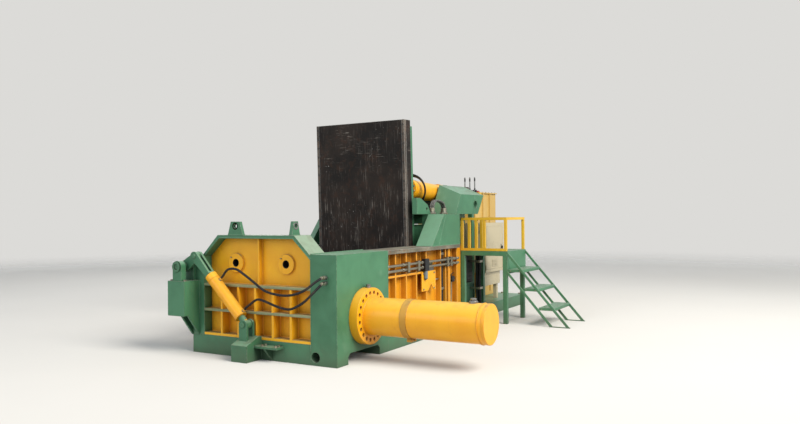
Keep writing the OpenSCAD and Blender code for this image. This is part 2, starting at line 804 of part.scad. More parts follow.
// Lid cylinders, drawn from the lug pin along X towards the trunnion
lift_front = 190;
lift_gland_l = 100;
lift_gland_d = lift_tube_d + 12;
eye_d = 2 * lug_r;
trunnion_ring_d = lift_tube_d + 24;
trunnion_ring_w = 110;
trunnion_boss_d = 118;
module lift_place() {
    for (side = [-1, 1])
        translate([lug_x, side * lift_y, lug_z]) rotate([0, -lift_angle, 0]) children();
}
module lid_rods() {
    color(steel) lift_place() {
        difference() {
            union() {
                bar_y(eye_d, -eye_w / 2, eye_w / 2, 0, 0);
                bar_x(lift_rod_d, lift_pin_d / 2, lift_front + lift_tube_l - cap_t - piston_rest - piston_t, 0, 0);
            }
            bar_y(lift_pin_d + 2 * pin_play, -eye_w, eye_w, 0, 0);
        }
        bar_x(lift_bore_d - 2 * pin_play, lift_front + lift_tube_l - cap_t - piston_rest - piston_t,
            lift_front + lift_tube_l - cap_t - piston_rest, 0, 0);
    }
}
module lid_barrels() {
    color(yellow) lift_place() difference() {
        union() {
            bar_x(lift_tube_d, lift_front, lift_front + lift_tube_l, 0, 0);
            bar_x(lift_gland_d, lift_front, lift_front + lift_gland_l, 0, 0);
            bar_x(trunnion_ring_d, lift_dist - trunnion_ring_w / 2, lift_dist + trunnion_ring_w / 2, 0, 0);
            bar_y(trunnion_boss_d, slide_gap - channel_half, channel_half - slide_gap, lift_dist, 0);
        }
        bar_x(lift_bore_d, lift_front + lift_gland_l, lift_front + lift_tube_l - cap_t, 0, 0);
        bar_x(lift_rod_d + 2 * pin_play, lift_front - over, lift_front + lift_gland_l + over, 0, 0);
    }
}

// Tray that lies under and behind the bale, with its two arms to the shaft
arm_t = 44;
arm_inset = 34;
arm_hub_r = 50;
arm_rise = 45;
module bale_tray() {
    tray_top = bale_top - head_gap;
    arm_in_y = lid_half + head_gap / 2;
    color(dark_steel) {
        plate_x([
            [tray_tip_y, floor_z], [tray_tip_y + tray_t * 3 / 2, floor_z - tray_t],
            [tray_back_y, floor_z - tray_t], [tray_back_y, tray_top],
            [tray_back_y - tray_t, tray_top], [tray_back_y - tray_t, floor_z]
        ], tray_x0, tray_x1);
        for (x = [tray_x0 + arm_inset, tray_x1 - arm_inset - arm_t]) difference() {
            union() {
                plate_x([
                    [arm_in_y, tray_top - over], [tray_back_y, tray_top - over],
                    [tray_back_y, bale_top + arm_rise], [shaft_y, shaft_z - arm_hub_r],
                    [shaft_y, shaft_z + arm_hub_r], [arm_in_y, shaft_z - arm_rise]
                ], x, x + arm_t);
                bar_x(2 * arm_hub_r, x, x + arm_t, shaft_y, shaft_z);
            }
            bar_x(shaft_d + 2 * pin_play, x - over, x + arm_t + over, shaft_y, shaft_z);
        }
    }
}

// Turn-out shaft, its crank and both bearings
bearing_w = 100;
rear_bearing_x = bale_x + post_t;
shaft_x1 = rear_bearing_x + bearing_w + 20;
module turnout_shaft() {
    color(steel) bar_x(shaft_d, shaft_x0, shaft_x1, shaft_y, shaft_z);
}
crank_t = 24;
crank_hub_r = 56;
crank_eye_r = 42;
module crank_place() {
    translate([turn_x, shaft_y, shaft_z]) rotate([crank_angle, 0, 0]) children();
}
module turnout_crank() {
    color(green) crank_place() difference() {
        union() {
            plate_x([[0, -crank_hub_r], [crank_l, -crank_eye_r], [crank_l, crank_eye_r], [0, crank_hub_r]],
                -crank_t / 2, crank_t / 2);
            bar_x(2 * crank_hub_r, -crank_t / 2, crank_t / 2, 0, 0);
            bar_x(2 * crank_eye_r, -crank_t / 2, crank_t / 2, crank_l, 0);
        }
        bar_x(shaft_d + 2 * pin_play, -crank_t, crank_t, 0, 0);
    }
}
bearing_r = 56;
front_bearing_w = 60;
inner_bearing_w = 30;
pedestal_x0 = -200;
shaft_x0 = pedestal_x0 + 15;
pedestal_w = 216;
pedestal_z0 = 370;
pedestal_z1 = 700;
pedestal_gusset = 200;
gusset_t = 20;
module bearing_stand(x0, x1, y0, z0) {
    difference() {
        union() {
            block([x0, y0, z0], [x1, shaft_y + bearing_r, shaft_z]);
            bar_x(2 * bearing_r, x0, x1, shaft_y, shaft_z);
        }
        bar_x(shaft_d + 2 * pin_play, x0 - over, x1 + over, shaft_y, shaft_z);
    }
}
module turnout_pedestal() {
    fork_front = turn_x - crank_t / 2 - slide_gap - fork_t - pin_head_proud;
    color(green) {
        block([pedestal_x0, shaft_y - pedestal_w / 2, pedestal_z0], [0, shaft_y + pedestal_w / 2, pedestal_z1]);
        block([0, far_out, pedestal_z0], [chamber_x / 2, shaft_y + pedestal_w / 2, pedestal_z1]);
        for (y = [shaft_y - pedestal_w / 2, shaft_y - gusset_t])
            plate_y([[pedestal_x0 * 3 / 4, pedestal_z0], [0, pedestal_z0 - pedestal_gusset], [0, pedestal_z0]],
                y, y + gusset_t);
        bearing_stand(fork_front - slide_gap - front_bearing_w, fork_front - slide_gap,
            shaft_y - bearing_r, pedestal_z1);
        bearing_stand(-inner_bearing_w, 0, shaft_y - bearing_r, pedestal_z1);
    }
}
module turnout_rear_bearing() {
    color(green) bearing_stand(rear_bearing_x, rear_bearing_x + bearing_w, far_web, pedestal_z1);
}

// Turn-out cylinder, drawn from its lower pivot along Y
turn_eye_r = 40;
turn_eye_w = 54;
turn_pin_d = 40;
turn_start = 92;
turn_neck_d = 60;
turn_gland_l = 60;
turn_cap_t = 30;
turn_piston_t = 40;
turn_bore_d = turn_tube_d * 3 / 4;
fork_l = 246;
fork_slot = 222;
fork_t = 25;
fork_eye_r = 44;
fork_base_half = 29;
turn_tube_l = turn_dist - fork_l - turn_start - 2 * head_gap;
port_d_turn = 32;
turn_wall_t = (turn_tube_d - turn_bore_d) / 2;
port_top = turn_tube_d / 2 + 24;
port_at = [112, turn_tube_l - 16];
pin_head_proud = 8;
module turn_place() {
    translate([turn_x, turn_pivot_y, turn_pivot_z]) rotate([turn_angle, 0, 0]) children();
}
module turnout_barrel() {
    color(yellow) turn_place() difference() {
        union() {
            bar_x(2 * turn_eye_r, -turn_eye_w / 2, turn_eye_w / 2, 0, 0);
            bar_y(turn_neck_d, 0, turn_start + over, 0, 0);
            bar_y(turn_tube_d, turn_start, turn_start + turn_tube_l, 0, 0);
            for (s = port_at) bar_z(port_d_turn, turn_bore_d / 2 + turn_wall_t / 2, port_top, 0, s);
        }
        bar_x(turn_pin_d + 2 * pin_play, -turn_eye_w, turn_eye_w, 0, 0);
        bar_y(turn_bore_d, turn_start + turn_cap_t, turn_start + turn_tube_l - turn_gland_l, 0, 0);
        bar_y(turn_rod_d + 2 * pin_play, turn_start + turn_cap_t, turn_start + turn_tube_l + over, 0, 0);
    }
}
module turnout_fork() {
    color(green) turn_place() {
        for (x = [-crank_t / 2 - slide_gap - fork_t, crank_t / 2 + slide_gap]) {
            plate_x([
                [turn_dist - fork_slot, -fork_base_half], [turn_dist, -fork_eye_r],
                [turn_dist, fork_eye_r], [turn_dist - fork_slot, fork_base_half]
            ], x, x + fork_t);
            bar_x(2 * fork_eye_r, x, x + fork_t, turn_dist, 0);
        }
        block([-crank_t / 2 - slide_gap - fork_t, turn_dist - fork_l, -fork_base_half],
            [crank_t / 2 + slide_gap + fork_t, turn_dist - fork_slot, fork_base_half]);
        for (x = [-crank_t / 2 - slide_gap - fork_t - pin_head_proud, crank_t / 2 + slide_gap + fork_t])
            bar_x(fork_eye_r, x, x + pin_head_proud, turn_dist, 0);
        bar_y(turn_rod_d, turn_start + turn_cap_t + turn_piston_t + piston_rest, turn_dist - fork_l, 0, 0);
        bar_y(turn_bore_d - 2 * pin_play, turn_start + turn_cap_t + piston_rest,
            turn_start + turn_cap_t + piston_rest + turn_piston_t, 0, 0);
    }
}
// Floor bracket with the two ears and the pin of the turn-out cylinder
bracket_x0 = -200;
bracket_y0 = -70;
bracket_y1 = 110;
bracket_z = 215;
bracket_front_z = 150;
ear_t = 24;
ear_r = 46;
shelf_l = 260;
shelf_z = 120;
shelf_t = 20;
module turnout_bracket() {
    color(green) {
        plate_y([[bracket_x0, 0], [0, 0], [0, bracket_z], [turn_x / 2, bracket_z], [bracket_x0, bracket_front_z]],
            bracket_y0, bracket_y1);
        for (x = [turn_x - turn_eye_w / 2 - slide_gap - ear_t, turn_x + turn_eye_w / 2 + slide_gap]) {
            block([x, turn_pivot_y - ear_r, bracket_front_z], [x + ear_t, turn_pivot_y + ear_r, turn_pivot_z]);
            bar_x(2 * ear_r, x, x + ear_t, turn_pivot_y, turn_pivot_z);
        }
        bar_x(turn_pin_d, turn_x - turn_eye_w / 2 - slide_gap - ear_t - pin_head_proud,
            turn_x + turn_eye_w / 2 + slide_gap + ear_t + pin_head_proud, turn_pivot_y, turn_pivot_z);
        block([bracket_x0 / 2, bracket_y0 - shelf_l, shelf_z], [0, bracket_y0, shelf_z + shelf_t]);
        plate_y([[bracket_x0 / 2, shelf_z], [0, 0], [0, shelf_z]], bracket_y0 - shelf_l / 2,
            bracket_y0 - shelf_l / 2 + gusset_t);
    }
}

// Operator's platform beside the rear of the machine
deck_x0 = wall_l + 10;
deck_x1 = deck_x0 + deck_l;
deck_out = 400;
deck_y0 = near_out - deck_out;
deck_y1 = deck_y0 + deck_w;
deck_t = 8;
module platform() {
    color(green) {
        block([deck_x0, deck_y0, deck_z - deck_t], [deck_x1, deck_y1, deck_z]);
        for (x = [deck_x0, deck_x1 - leg_t])
            block([x, deck_y0, deck_z - deck_t - leg_t], [x + leg_t, deck_y1, deck_z - deck_t]);
        for (y = [deck_y0, deck_y1 - leg_t])
            block([deck_x0 + leg_t, y, deck_z - deck_t - leg_t], [deck_x1 - leg_t, y + leg_t, deck_z - deck_t]);
        for (x = [deck_x0, deck_x1 - leg_t])
            block([x, deck_y0, 0], [x + leg_t, deck_y0 + leg_t, deck_z - deck_t - leg_t]);
        block([deck_x0, deck_y1 - leg_t, base_t], [deck_x0 + leg_t, deck_y1, deck_z - deck_t - leg_t]);
        block([deck_x1 - leg_t, deck_y1 - leg_t, sill_h], [deck_x1, deck_y1, deck_z - deck_t - leg_t]);
    }
}
// Guard rail on three sides of the deck, closer posts beside the wall
rail_post_shares = [0, 1 / 6, 1 / 3, 31 / 60];
rail_z = deck_z + rail_h;
module guard_rail() {
    color(rail_yellow) {
        for (share = rail_post_shares)
            block([deck_x0, deck_y1 - rail_t - share * (deck_w - rail_t), deck_z],
                [deck_x0 + rail_t, deck_y1 - share * (deck_w - rail_t), rail_z - rail_t]);
        for (x = [deck_x0, deck_x1 - rail_t]) {
            block([x, deck_y0, deck_z], [x + rail_t, deck_y0 + rail_t, rail_z - rail_t]);
            block([x, deck_y0, rail_z - rail_t], [x + rail_t, deck_y1, rail_z]);
        }
        block([deck_x1 - rail_t, deck_y1 - rail_t, deck_z], [deck_x1, deck_y1, rail_z - rail_t]);
        block([deck_x0 + rail_t, deck_y0, rail_z - rail_t], [deck_x1 - rail_t, deck_y0 + rail_t, rail_z]);
        block([deck_x0, deck_y0 + rail_t, deck_z],
            [deck_x0 + rail_t / 2, deck_y1 - rail_t, deck_z + rail_t]);
    }
}
// Stairs: a pair of parallel flat bars on each side and folded treads between them
bar_w = 40;
bar_t = 10;
lower_bar_drop = 230;
tread_d = stair_run / (treads + 1) - head_gap;
tread_t = 30;
module stair_bar(x, z_top, run) {
    plate_x([
        [deck_y0 - over, z_top], [deck_y0 - over, z_top - bar_w], [deck_y0 - bar_t - run + bar_w, 0],
        [deck_y0 - bar_t - run, 0]
    ], x, x + bar_t);
}
module stairs() {
    top = deck_z;
    run_share = (top - lower_bar_drop) / top;
    color(green) {
        block([deck_x0, deck_y0 - bar_t, top - lower_bar_drop - bar_w], [deck_x1, deck_y0, top]);
        for (x = [deck_x0, deck_x1 - bar_t]) {
            stair_bar(x, top, stair_run);
            stair_bar(x, top - lower_bar_drop, stair_run * run_share);
            block([x, deck_y0 - bar_t - stair_run, 0],
                [x + bar_t, deck_y0 - bar_t - stair_run * run_share + bar_w, bar_t]);
        }
        for (i = [1:treads]) {
            z = top * (treads + 1 - i) / (treads + 1);
            y = deck_y0 - bar_t - stair_run * i / (treads + 1);
            block([deck_x0 + bar_t / 2, y, z - tread_t], [deck_x1 - bar_t / 2, y + tread_d, z]);
        }
    }
}

// Hand valve bank on its stand behind the crosshead, with three levers
stand_gap = 55;
stand_x = bed_end + stand_gap;
stand_t = 60;
stand_y = -610;
bank_l = 130;
bank_w = 180;
bank_z0 = 1470;
bank_h = 130;
bank_y0 = -lift_y - lift_tube_d / 2 - bank_w - 2 * head_gap;
lever_pitch = 70;
lever_d = 16;
lever_l = 175;
lever_axle_d = 18;
lever_axle_z = bank_z0 + bank_h + 22;
lever_ear_t = 12;
lever_hub_w = 26;
lever_x = stand_x + bank_l / 2;
function lever_y(i) = bank_y0 + bank_w / 2 + (i - 2) * lever_pitch;
module valve_stand() {
    color(green) {
        block([stand_x + stand_t / 2, stand_y, sill_h], [stand_x + stand_t * 3 / 2, stand_y + stand_t, bank_z0 - bar_t]);
        block([stand_x, bank_y0, bank_z0 - bar_t], [stand_x + bank_l, bank_y0 + bank_w, bank_z0]);
    }
}
port_d = 34;
module valve_bank() {
    color(black) {
        block([stand_x, bank_y0, bank_z0], [stand_x + bank_l, bank_y0 + bank_w, bank_z0 + bank_h]);
        for (i = [1:3]) difference() {
            union() for (side = [-1, 1])
                translate([0, lever_y(i) + side * (lever_hub_w + lever_ear_t + slide_gap) / 2, 0]) {
                    block([lever_x - lever_axle_d, -lever_ear_t / 2, bank_z0 + bank_h],
                        [lever_x + lever_axle_d, lever_ear_t / 2, lever_axle_z]);
                    bar_y(2 * lever_axle_d, -lever_ear_t / 2, lever_ear_t / 2, lever_x, lever_axle_z);
                }
            bar_y(lever_axle_d + 2 * pin_play, lever_y(i) - lever_pitch / 2, lever_y(i) + lever_pitch / 2,
                lever_x, lever_axle_z);
        }
        for (i = [1:3]) bar_x(port_d, stand_x + bank_l, stand_x + bank_l + port_d, lever_y(i), bank_z0 + bank_h / 2);
    }
}
module lever(i) {
    color(steel) {
        bar_y(lever_axle_d, lever_y(i) - lever_hub_w / 2 - lever_ear_t, lever_y(i) + lever_hub_w / 2 + lever_ear_t,
            lever_x, lever_axle_z);
        bar_z(lever_d, lever_axle_z, lever_axle_z + lever_l, lever_x, lever_y(i));
        translate([lever_x, lever_y(i), lever_axle_z + lever_l]) sphere(d = lever_d * 5 / 4, $fn = 24);
    }
}
module lever_1() { lever(1); }
module lever_2() { lever(2); }
module lever_3() { lever(3); }

// Stop button on its box beside the levers
stop_w = 70;
stop_y = bank_y0 - stop_w - slide_gap;
stop_h = 70;
stop_d = 44;
stop_stem_d = 20;
stop_stem_l = 22;
stop_travel = 8;
module stop_box() {
    color(rail_yellow) difference() {
        block([stand_x, stop_y, bank_z0 + bank_h - stop_h], [stand_x + stop_w, stop_y + stop_w, bank_z0 + bank_h]);
        bar_z(stop_stem_d + 2 * pin_play, bank_z0 + bank_h - stop_stem_l - stop_travel - over,
            bank_z0 + bank_h + over, stand_x + stop_w / 2, stop_y + stop_w / 2);
    }
    color(green) block([stand_x, stop_y, bank_z0 - bar_t],
        [stand_x + stop_w, bank_y0, bank_z0 + bank_h - stop_h]);
}
module stop_button() {
    color(red) translate([stand_x + stop_w / 2, stop_y + stop_w / 2, bank_z0 + bank_h]) {
        translate([0, 0, -stop_stem_l]) cylinder(d = stop_stem_d, h = stop_stem_l + stop_travel + over);
        translate([0, 0, stop_travel + over]) cylinder(d1 = stop_d, d2 = stop_d * 3 / 4, h = stop_d / 3);
    }
}

// Skid of the power pack, bolted to the end of the bed
tank_gap = 40;
tank_clear = 40;
pusher_end_x = head_wall_x + head_wall_t + pusher_tube_l;
skid_x0 = bed_end;
skid_x1 = max(skid_x0 + skid_l, pusher_end_x + tank_clear + tank_l + tank_gap);
tank_x1 = skid_x1 - tank_gap;
tank_x0 = tank_x1 - tank_l;
skid_plate_t = 30;
channel_w = 70;
module power_skid() {
    color(green) {
        block([skid_x0, near_web, sill_h - skid_plate_t], [skid_x1, far_out, sill_h]);
        for (y = [near_web, -channel_w / 2, far_out - channel_w])
            block([skid_x0, y, 0], [skid_x1, y + channel_w, sill_h - skid_plate_t]);
        for (x = [skid_x0, skid_x1 - channel_w]) {
            block([x, near_web + channel_w, 0], [x + channel_w, -channel_w / 2, sill_h - skid_plate_t]);
            block([x, channel_w / 2, 0], [x + channel_w, far_out - channel_w, sill_h - skid_plate_t]);
        }
    }
}

// Oil tank with a flanged top, standing behind the pusher cylinder
tank_y0 = -tank_w / 2 + 50;
tank_y1 = tank_y0 + tank_w;
tank_lip = 20;
tank_lip_t = 14;
tank_foot_h = 60;
module oil_tank() {
    color(yellow) {
        for (y = [tank_y0, tank_y1 - channel_w])
            block([tank_x0, y, sill_h], [tank_x1, y + channel_w, sill_h + tank_foot_h]);
        block([tank_x0, tank_y0, sill_h + tank_foot_h], [tank_x1, tank_y1, tank_top - tank_lip_t]);
        block([tank_x0 - tank_lip, tank_y0 - tank_lip, tank_top - tank_lip_t],
            [tank_x1 + tank_lip, tank_y1 + tank_lip, tank_top]);
        for (x = [tank_x0 + tank_l / 3, tank_x0 + tank_l * 2 / 3])
            block([x, tank_y0 - tank_lip, sill_h + tank_foot_h], [x + rib_t, tank_y0, tank_top - tank_lip_t]);
    }
}
// Breather, return filter, level gauge and cleaning cover of the tank
breather_d = 90;
breather_h = 80;
filter_d = 140;
filter_h = 90;
gauge_w = 40;
gauge_h = 240;
gauge_t = 20;
cover_d = 420;
cover_t = 16;
module tank_fittings() {
    color(black) {
        bar_z(breather_d / 2, tank_top, tank_top + breather_h / 3, tank_x0 + tank_l / 4, tank_y0 + tank_w / 4);
        bar_z(breather_d, tank_top + breather_h / 3, tank_top + breather_h, tank_x0 + tank_l / 4,
            tank_y0 + tank_w / 4);
    }
    color(steel) {
        bar_z(filter_d, tank_top, tank_top + filter_h, tank_x0 + tank_l / 2, tank_y0 + tank_w * 2 / 3);
        bar_x(cover_d, tank_x1, tank_x1 + cover_t, tank_y0 + tank_w / 2, tank_top / 2);
        block([tank_x0 - gauge_t, tank_y0 + tank_w / 4, tank_top - 2 * gauge_h],
            [tank_x0, tank_y0 + tank_w / 4 + gauge_w, tank_top - gauge_h]);
    }
}

// Two electric motors with their pumps, side by side on the skid
motor_tail = 260;
motor_x0 = tank_x0 - motor_l - motor_tail;
motor_ys = [far_out - motor_d / 2 - head_gap, far_out - motor_d * 3 / 2 - leg_t];
motor_axis_z = sill_h + motor_d * 2 / 3;
bell_l = 110;
bell_d = motor_d * 4 / 5;
pump_l = 120;
pump_d = motor_d / 2;
cowl_l = 50;
fin_n = 20;
fin_h = 12;
module motor_pumps() {
    color(steel) for (y = motor_ys) {
        difference() {
            bar_x(motor_d, motor_x0 + cowl_l, motor_x0 + motor_l, y, motor_axis_z);
            for (i = [0:fin_n - 1]) if (abs(360 * i / fin_n - 180) > 80)
                translate([0, y, motor_axis_z]) rotate([360 * i / fin_n, 0, 0])
                block([motor_x0 + cowl_l + fin_h, -fin_h / 3, motor_d / 2 - fin_h],
                    [motor_x0 + motor_l - fin_h, fin_h / 3, motor_d / 2 + over]);
        }
        bar_x(motor_d * 0.94, motor_x0, motor_x0 + cowl_l, y, motor_axis_z);
        bar_x(bell_d, motor_x0 + motor_l, motor_x0 + motor_l + bell_l, y, motor_axis_z);
        bar_x(pump_d, motor_x0 + motor_l + bell_l, motor_x0 + motor_l + bell_l + pump_l, y, motor_axis_z);
        for (x = [motor_x0 + cowl_l + fin_h, motor_x0 + motor_l - channel_w - fin_h])
            for (side = [-1, 1])
                block([x, y + side * motor_d / 3 - channel_w / 2, sill_h],
                    [x + channel_w, y + side * motor_d / 3 + channel_w / 2, motor_axis_z - motor_d / 3]);
    }
}

// Electrical cabinet on its stand, open at the front behind the door
cabinet_gap = 80;
cabinet_x0 = deck_x1 + cabinet_gap;
cabinet_x1 = cabinet_x0 + cabinet_w;
cabinet_y0 = near_web + 90;
cabinet_y1 = cabinet_y0 + cabinet_depth;
cabinet_z0 = 540;
cabinet_z1 = cabinet_z0 + cabinet_h;
sheet_t = 4;
door_t = 20;
door_gap = 2;
hinge_d = 16;
door_hinge_y = cabinet_y0 - door_t - hinge_d / 2;
module cabinet() {
    color(cream) {
        difference() {
            block([cabinet_x0, cabinet_y0, cabinet_z0], [cabinet_x1, cabinet_y1, cabinet_z1]);
            block([cabinet_x0 + sheet_t, cabinet_y0 - over, cabinet_z0 + sheet_t],
                [cabinet_x1 - sheet_t, cabinet_y1 - sheet_t, cabinet_z1 - sheet_t]);
        }
        block([cabinet_x0 + leg_t, cabinet_y1 - sheet_t - door_t, cabinet_z0 + leg_t],
            [cabinet_x1 - leg_t, cabinet_y1 - sheet_t, cabinet_z1 - leg_t]);
        for (z = [cabinet_z0 + leg_t, cabinet_z1 - 2 * leg_t]) {
            bar_z(hinge_d / 2, z, z + leg_t, cabinet_x0 - hinge_d / 2, door_hinge_y);
            block([cabinet_x0 - hinge_d, door_hinge_y - hinge_d / 2, z - hinge_d],
                [cabinet_x0, cabinet_y0 + leg_t, z]);
        }
    }
    color(green) {
        for (x = [cabinet_x0 + leg_t, cabinet_x1 - 2 * leg_t])
            for (y = [cabinet_y0 + leg_t, cabinet_y1 - leg_t])
                block([x, y, sill_h], [x + leg_t, y + leg_t, cabinet_z0]);
        block([cabinet_x0 + leg_t, cabinet_y0 + door_t, cabinet_z0 * 2 / 3],
            [cabinet_x1 - leg_t, cabinet_y0 + leg_t, cabinet_z0]);
    }
}
module cabinet_door() {
    color(cream) difference() {
        union() {
            block([cabinet_x0 + door_gap, cabinet_y0 - door_t, cabinet_z0],
                [cabinet_x1, cabinet_y0 - door_gap, cabinet_z1]);
            for (z = [cabinet_z0 + leg_t, cabinet_z1 - 2 * leg_t]) {
                bar_z(hinge_d, z + door_gap, z + leg_t - door_gap, cabinet_x0 - hinge_d / 2, door_hinge_y);
                block([cabinet_x0 - hinge_d / 2, door_hinge_y - hinge_d / 2, z + door_gap],
                    [cabinet_x0 + hinge_d, cabinet_y0 - door_t, z + leg_t - door_gap]);
            }
        }
        bar_z(hinge_d / 2 + 2 * pin_play, cabinet_z0, cabinet_z1, cabinet_x0 - hinge_d / 2, door_hinge_y);
        bar_y(latch_d + 2 * pin_play, cabinet_y0 - door_t - over, cabinet_y0, latch_x, latch_z);
    }
}
latch_d = 18;
latch_x = cabinet_x1 - 90;
latch_z = cabinet_z0 + cabinet_h / 2;
latch_l = 110;
latch_w = 22;
latch_t = 12;
module door_handle() {
    color(steel) {
        bar_y(latch_d, cabinet_y0 - door_t - latch_t, cabinet_y0 - door_gap, latch_x, latch_z);
        block([latch_x - latch_w / 2, cabinet_y0 - door_t - 2 * latch_t, latch_z - latch_l],
            [latch_x + latch_w / 2, cabinet_y0 - door_t - latch_t, latch_z + latch_w / 2]);
    }
}

// Two hydraulic pipes with their clamps along the side wall
pipe_d = 26;
pipe_y = near_out + rib_inset - pipe_d / 2 - 0.3;
pipe_zs = [757, 808];
pipe_x0 = block_l;
clamp_w = 40;
clamp_t = 8;
module side_pipes() {
    color(steel) for (z = pipe_zs) bar_x(pipe_d, pipe_x0, panel_l, pipe_y, z);
    color(rail_yellow) for (rib = concat([panel_ribs[1], panel_ribs[2], rib_end_x], [post_x + (post_t - rib_t) / 2]))
        let (x = rib + rib_t / 2 - clamp_w / 2)
            block([x, pipe_y - pipe_d / 2 - clamp_t, pipe_zs[0] - pipe_d],
                [x + clamp_w, near_out + rib_inset, pipe_zs[1] + pipe_d]);
}
// Check valve with its filter bowl on the pipes
valve_x = 1640;
valve_w = 90;
valve_h = 110;
bowl_d = 42;
bowl_h = 90;
module side_valve() {
    color(black) difference() {
        block([valve_x, pipe_y - valve_w / 3, pipe_zs[0] - valve_h / 3],
            [valve_x + valve_w, near_out + rib_inset, pipe_zs[1] + valve_h / 3]);
        for (z = pipe_zs) bar_x(pipe_d + 2 * pin_play, valve_x - over, valve_x + valve_w + over, pipe_y, z);
    }
    color(steel) bar_z(bowl_d, pipe_zs[0] - valve_h / 3 - bowl_h, pipe_zs[0] - valve_h / 3,
        valve_x + valve_w / 2, pipe_y + (near_out + rib_inset - pipe_y - valve_w / 3) / 2);
}
// Dark upright pipe in front of the wall, and the bracket box on the near cheek
riser_d = 44;
riser_x = post_x - 150;
cheek_box_x0 = 1870;
cheek_box_hole_share = 0.7;
cheek_box_l = 340;
cheek_box_y = near_back - 70;
cheek_box_w = 60;
cheek_box_h = 180;
cheek_box_hole = 34;
module pipe_post() {
    color(dark_steel) bar_z(riser_d, sill_h, flange_z, riser_x, near_web - riser_d / 2);
    color(green) difference() {
        plate_y([
            [cheek_box_x0, cheek_top], [cheek_box_x0 + cheek_box_l, cheek_top],
            [cheek_box_x0 + cheek_box_l * 3 / 4, cheek_top + cheek_box_h * 3 / 5],
            [cheek_box_x0 + cheek_box_l / 4, cheek_top + cheek_box_h], [cheek_box_x0, cheek_top + cheek_box_h]
        ], cheek_box_y, cheek_box_y + cheek_box_w);
        bar_y(cheek_box_hole, cheek_box_y - over, cheek_box_y + cheek_box_w + over,
            cheek_box_x0 + cheek_box_l * cheek_box_hole_share, cheek_top + cheek_box_h / 3);
    }
}

// Tube swept along a route: one ring of points at each point of the route
function unit(v) = v / norm(v);
function tangent(p, i) = unit(p[min(i + 1, len(p) - 1)] - p[max(i - 1, 0)]);
// Direction of a ring: along the route's first and last leg at the ends, so that the ends are square
function ring_way(route, p, i) = i == 0 ? unit(route[1] - route[0])
    : i == len(p) - 1 ? unit(route[len(route) - 1] - route[len(route) - 2]) : tangent(p, i);
function side_of(t) = unit(cross(t, abs(t[2]) > 0.9 ? [0, 1, 0] : [0, 0, 1]));
function spline_at(a, b, c, d, t) = 0.5 * ((2 * b) + (c - a) * t + (2 * a - 5 * b + 4 * c - d) * t * t
    + (3 * b - a - 3 * c + d) * t * t * t);
function smooth(p, n) = [
    for (i = [0:len(p) - 2]) for (k = [0:n - 1])
        spline_at(p[max(i - 1, 0)], p[i], p[i + 1], p[min(i + 2, len(p) - 1)], k / n),
    p[len(p) - 1]
];
sides = 8;
module hose(route, d, steps) {
    p = smooth(route, steps);
    rings = [
        for (i = [0:len(p) - 1]) let (t = ring_way(route, p, i), u = side_of(t), v = cross(t, u))
            for (k = [0:sides - 1]) p[i] + d / 2 * (u * cos(360 * k / sides) + v * sin(360 * k / sides))
    ];
    last = len(p) - 1;
    faces = concat(
        [[for (k = [0:sides - 1]) k]],
        [for (i = [0:last - 1]) for (k = [0:sides - 1])
            [i * sides + k, (i + 1) * sides + k, (i + 1) * sides + (k + 1) % sides, i * sides + (k + 1) % sides]],
        [[for (k = [sides - 1:-1:0]) last * sides + k]]);
    polyhedron(rings, faces);
}
hose_d = 22;
// Ports on the turn-out cylinder's barrel, and the fittings on the block's end face
function turn_port(s, rise) = [turn_x, turn_pivot_y + s * cos(turn_angle) - rise * sin(turn_angle),
    turn_pivot_z + s * sin(turn_angle) + rise * cos(turn_angle)];
fitting_d = 34;
fitting_l = 30;
// Gap between the barrel's port and the hose end that stays with the bed
hose_gap = 0.5;
hose_port_y = -800;
hose_port_zs = [725, 775];
lid_hose_y = -690;
lid_hose_xs = [2250, 2560];
lid_fitting_d = 72;
module hose_fittings() {
    color(steel) {
        for (z = hose_port_zs) bar_x(fitting_d, -fitting_l, 0, hose_port_y, z);
        for (x = lid_hose_xs) bar_z(lid_fitting_d, cheek_top, cheek_top + fitting_l, x, lid_hose_y);
    }
}
hose_lead = 25;
block_end = [-fitting_l, hose_port_y, 0];
block_lead = [-fitting_l - hose_lead, hose_port_y, 0];
hose_upper = concat([turn_port(port_at[1], port_top + hose_gap), turn_port(port_at[1], port_top + hose_lead)], [
    [-90, 245, 818], [-118, 120, 828], [-135, 0, 780], [-140, -100, 725],
    [-145, -230, 652], [-145, -360, 622], [-145, -490, 618], [-145, -600, 640], [-138, -690, 680],
    [-110, -760, 738]
], [for (end = [block_lead, block_end]) end + [0, 0, hose_port_zs[1]]]);
hose_lower = concat([turn_port(port_at[0], port_top + hose_gap), turn_port(port_at[0], port_top + hose_lead)], [
    [-95, -20, 508], [-120, -128, 562], [-125, -210, 556], [-125, -300, 530],
    [-125, -400, 505], [-125, -500, 497], [-125, -590, 530], [-122, -670, 580], [-110, -745, 650]
], [for (end = [block_lead, block_end]) end + [0, 0, hose_port_zs[0]]]);
module turnout_hose_upper() {
    color(black) hose(hose_upper, hose_d, 2);
}
module turnout_hose_lower() {
    color(black) hose(hose_lower, hose_d, 2);
}
lid_hose_d = 60;
lid_hose_route = concat([[lid_hose_xs[0], lid_hose_y, cheek_top + fitting_l]], [
    [2250, -690, 1385], [2290, -685, 1450], [2405, -670, 1480], [2520, -685, 1450], [2560, -690, 1385]
], [[lid_hose_xs[1], lid_hose_y, cheek_top + fitting_l]]);
module lid_hose() {
    color(black) hose(lid_hose_route, lid_hose_d, 3);
}

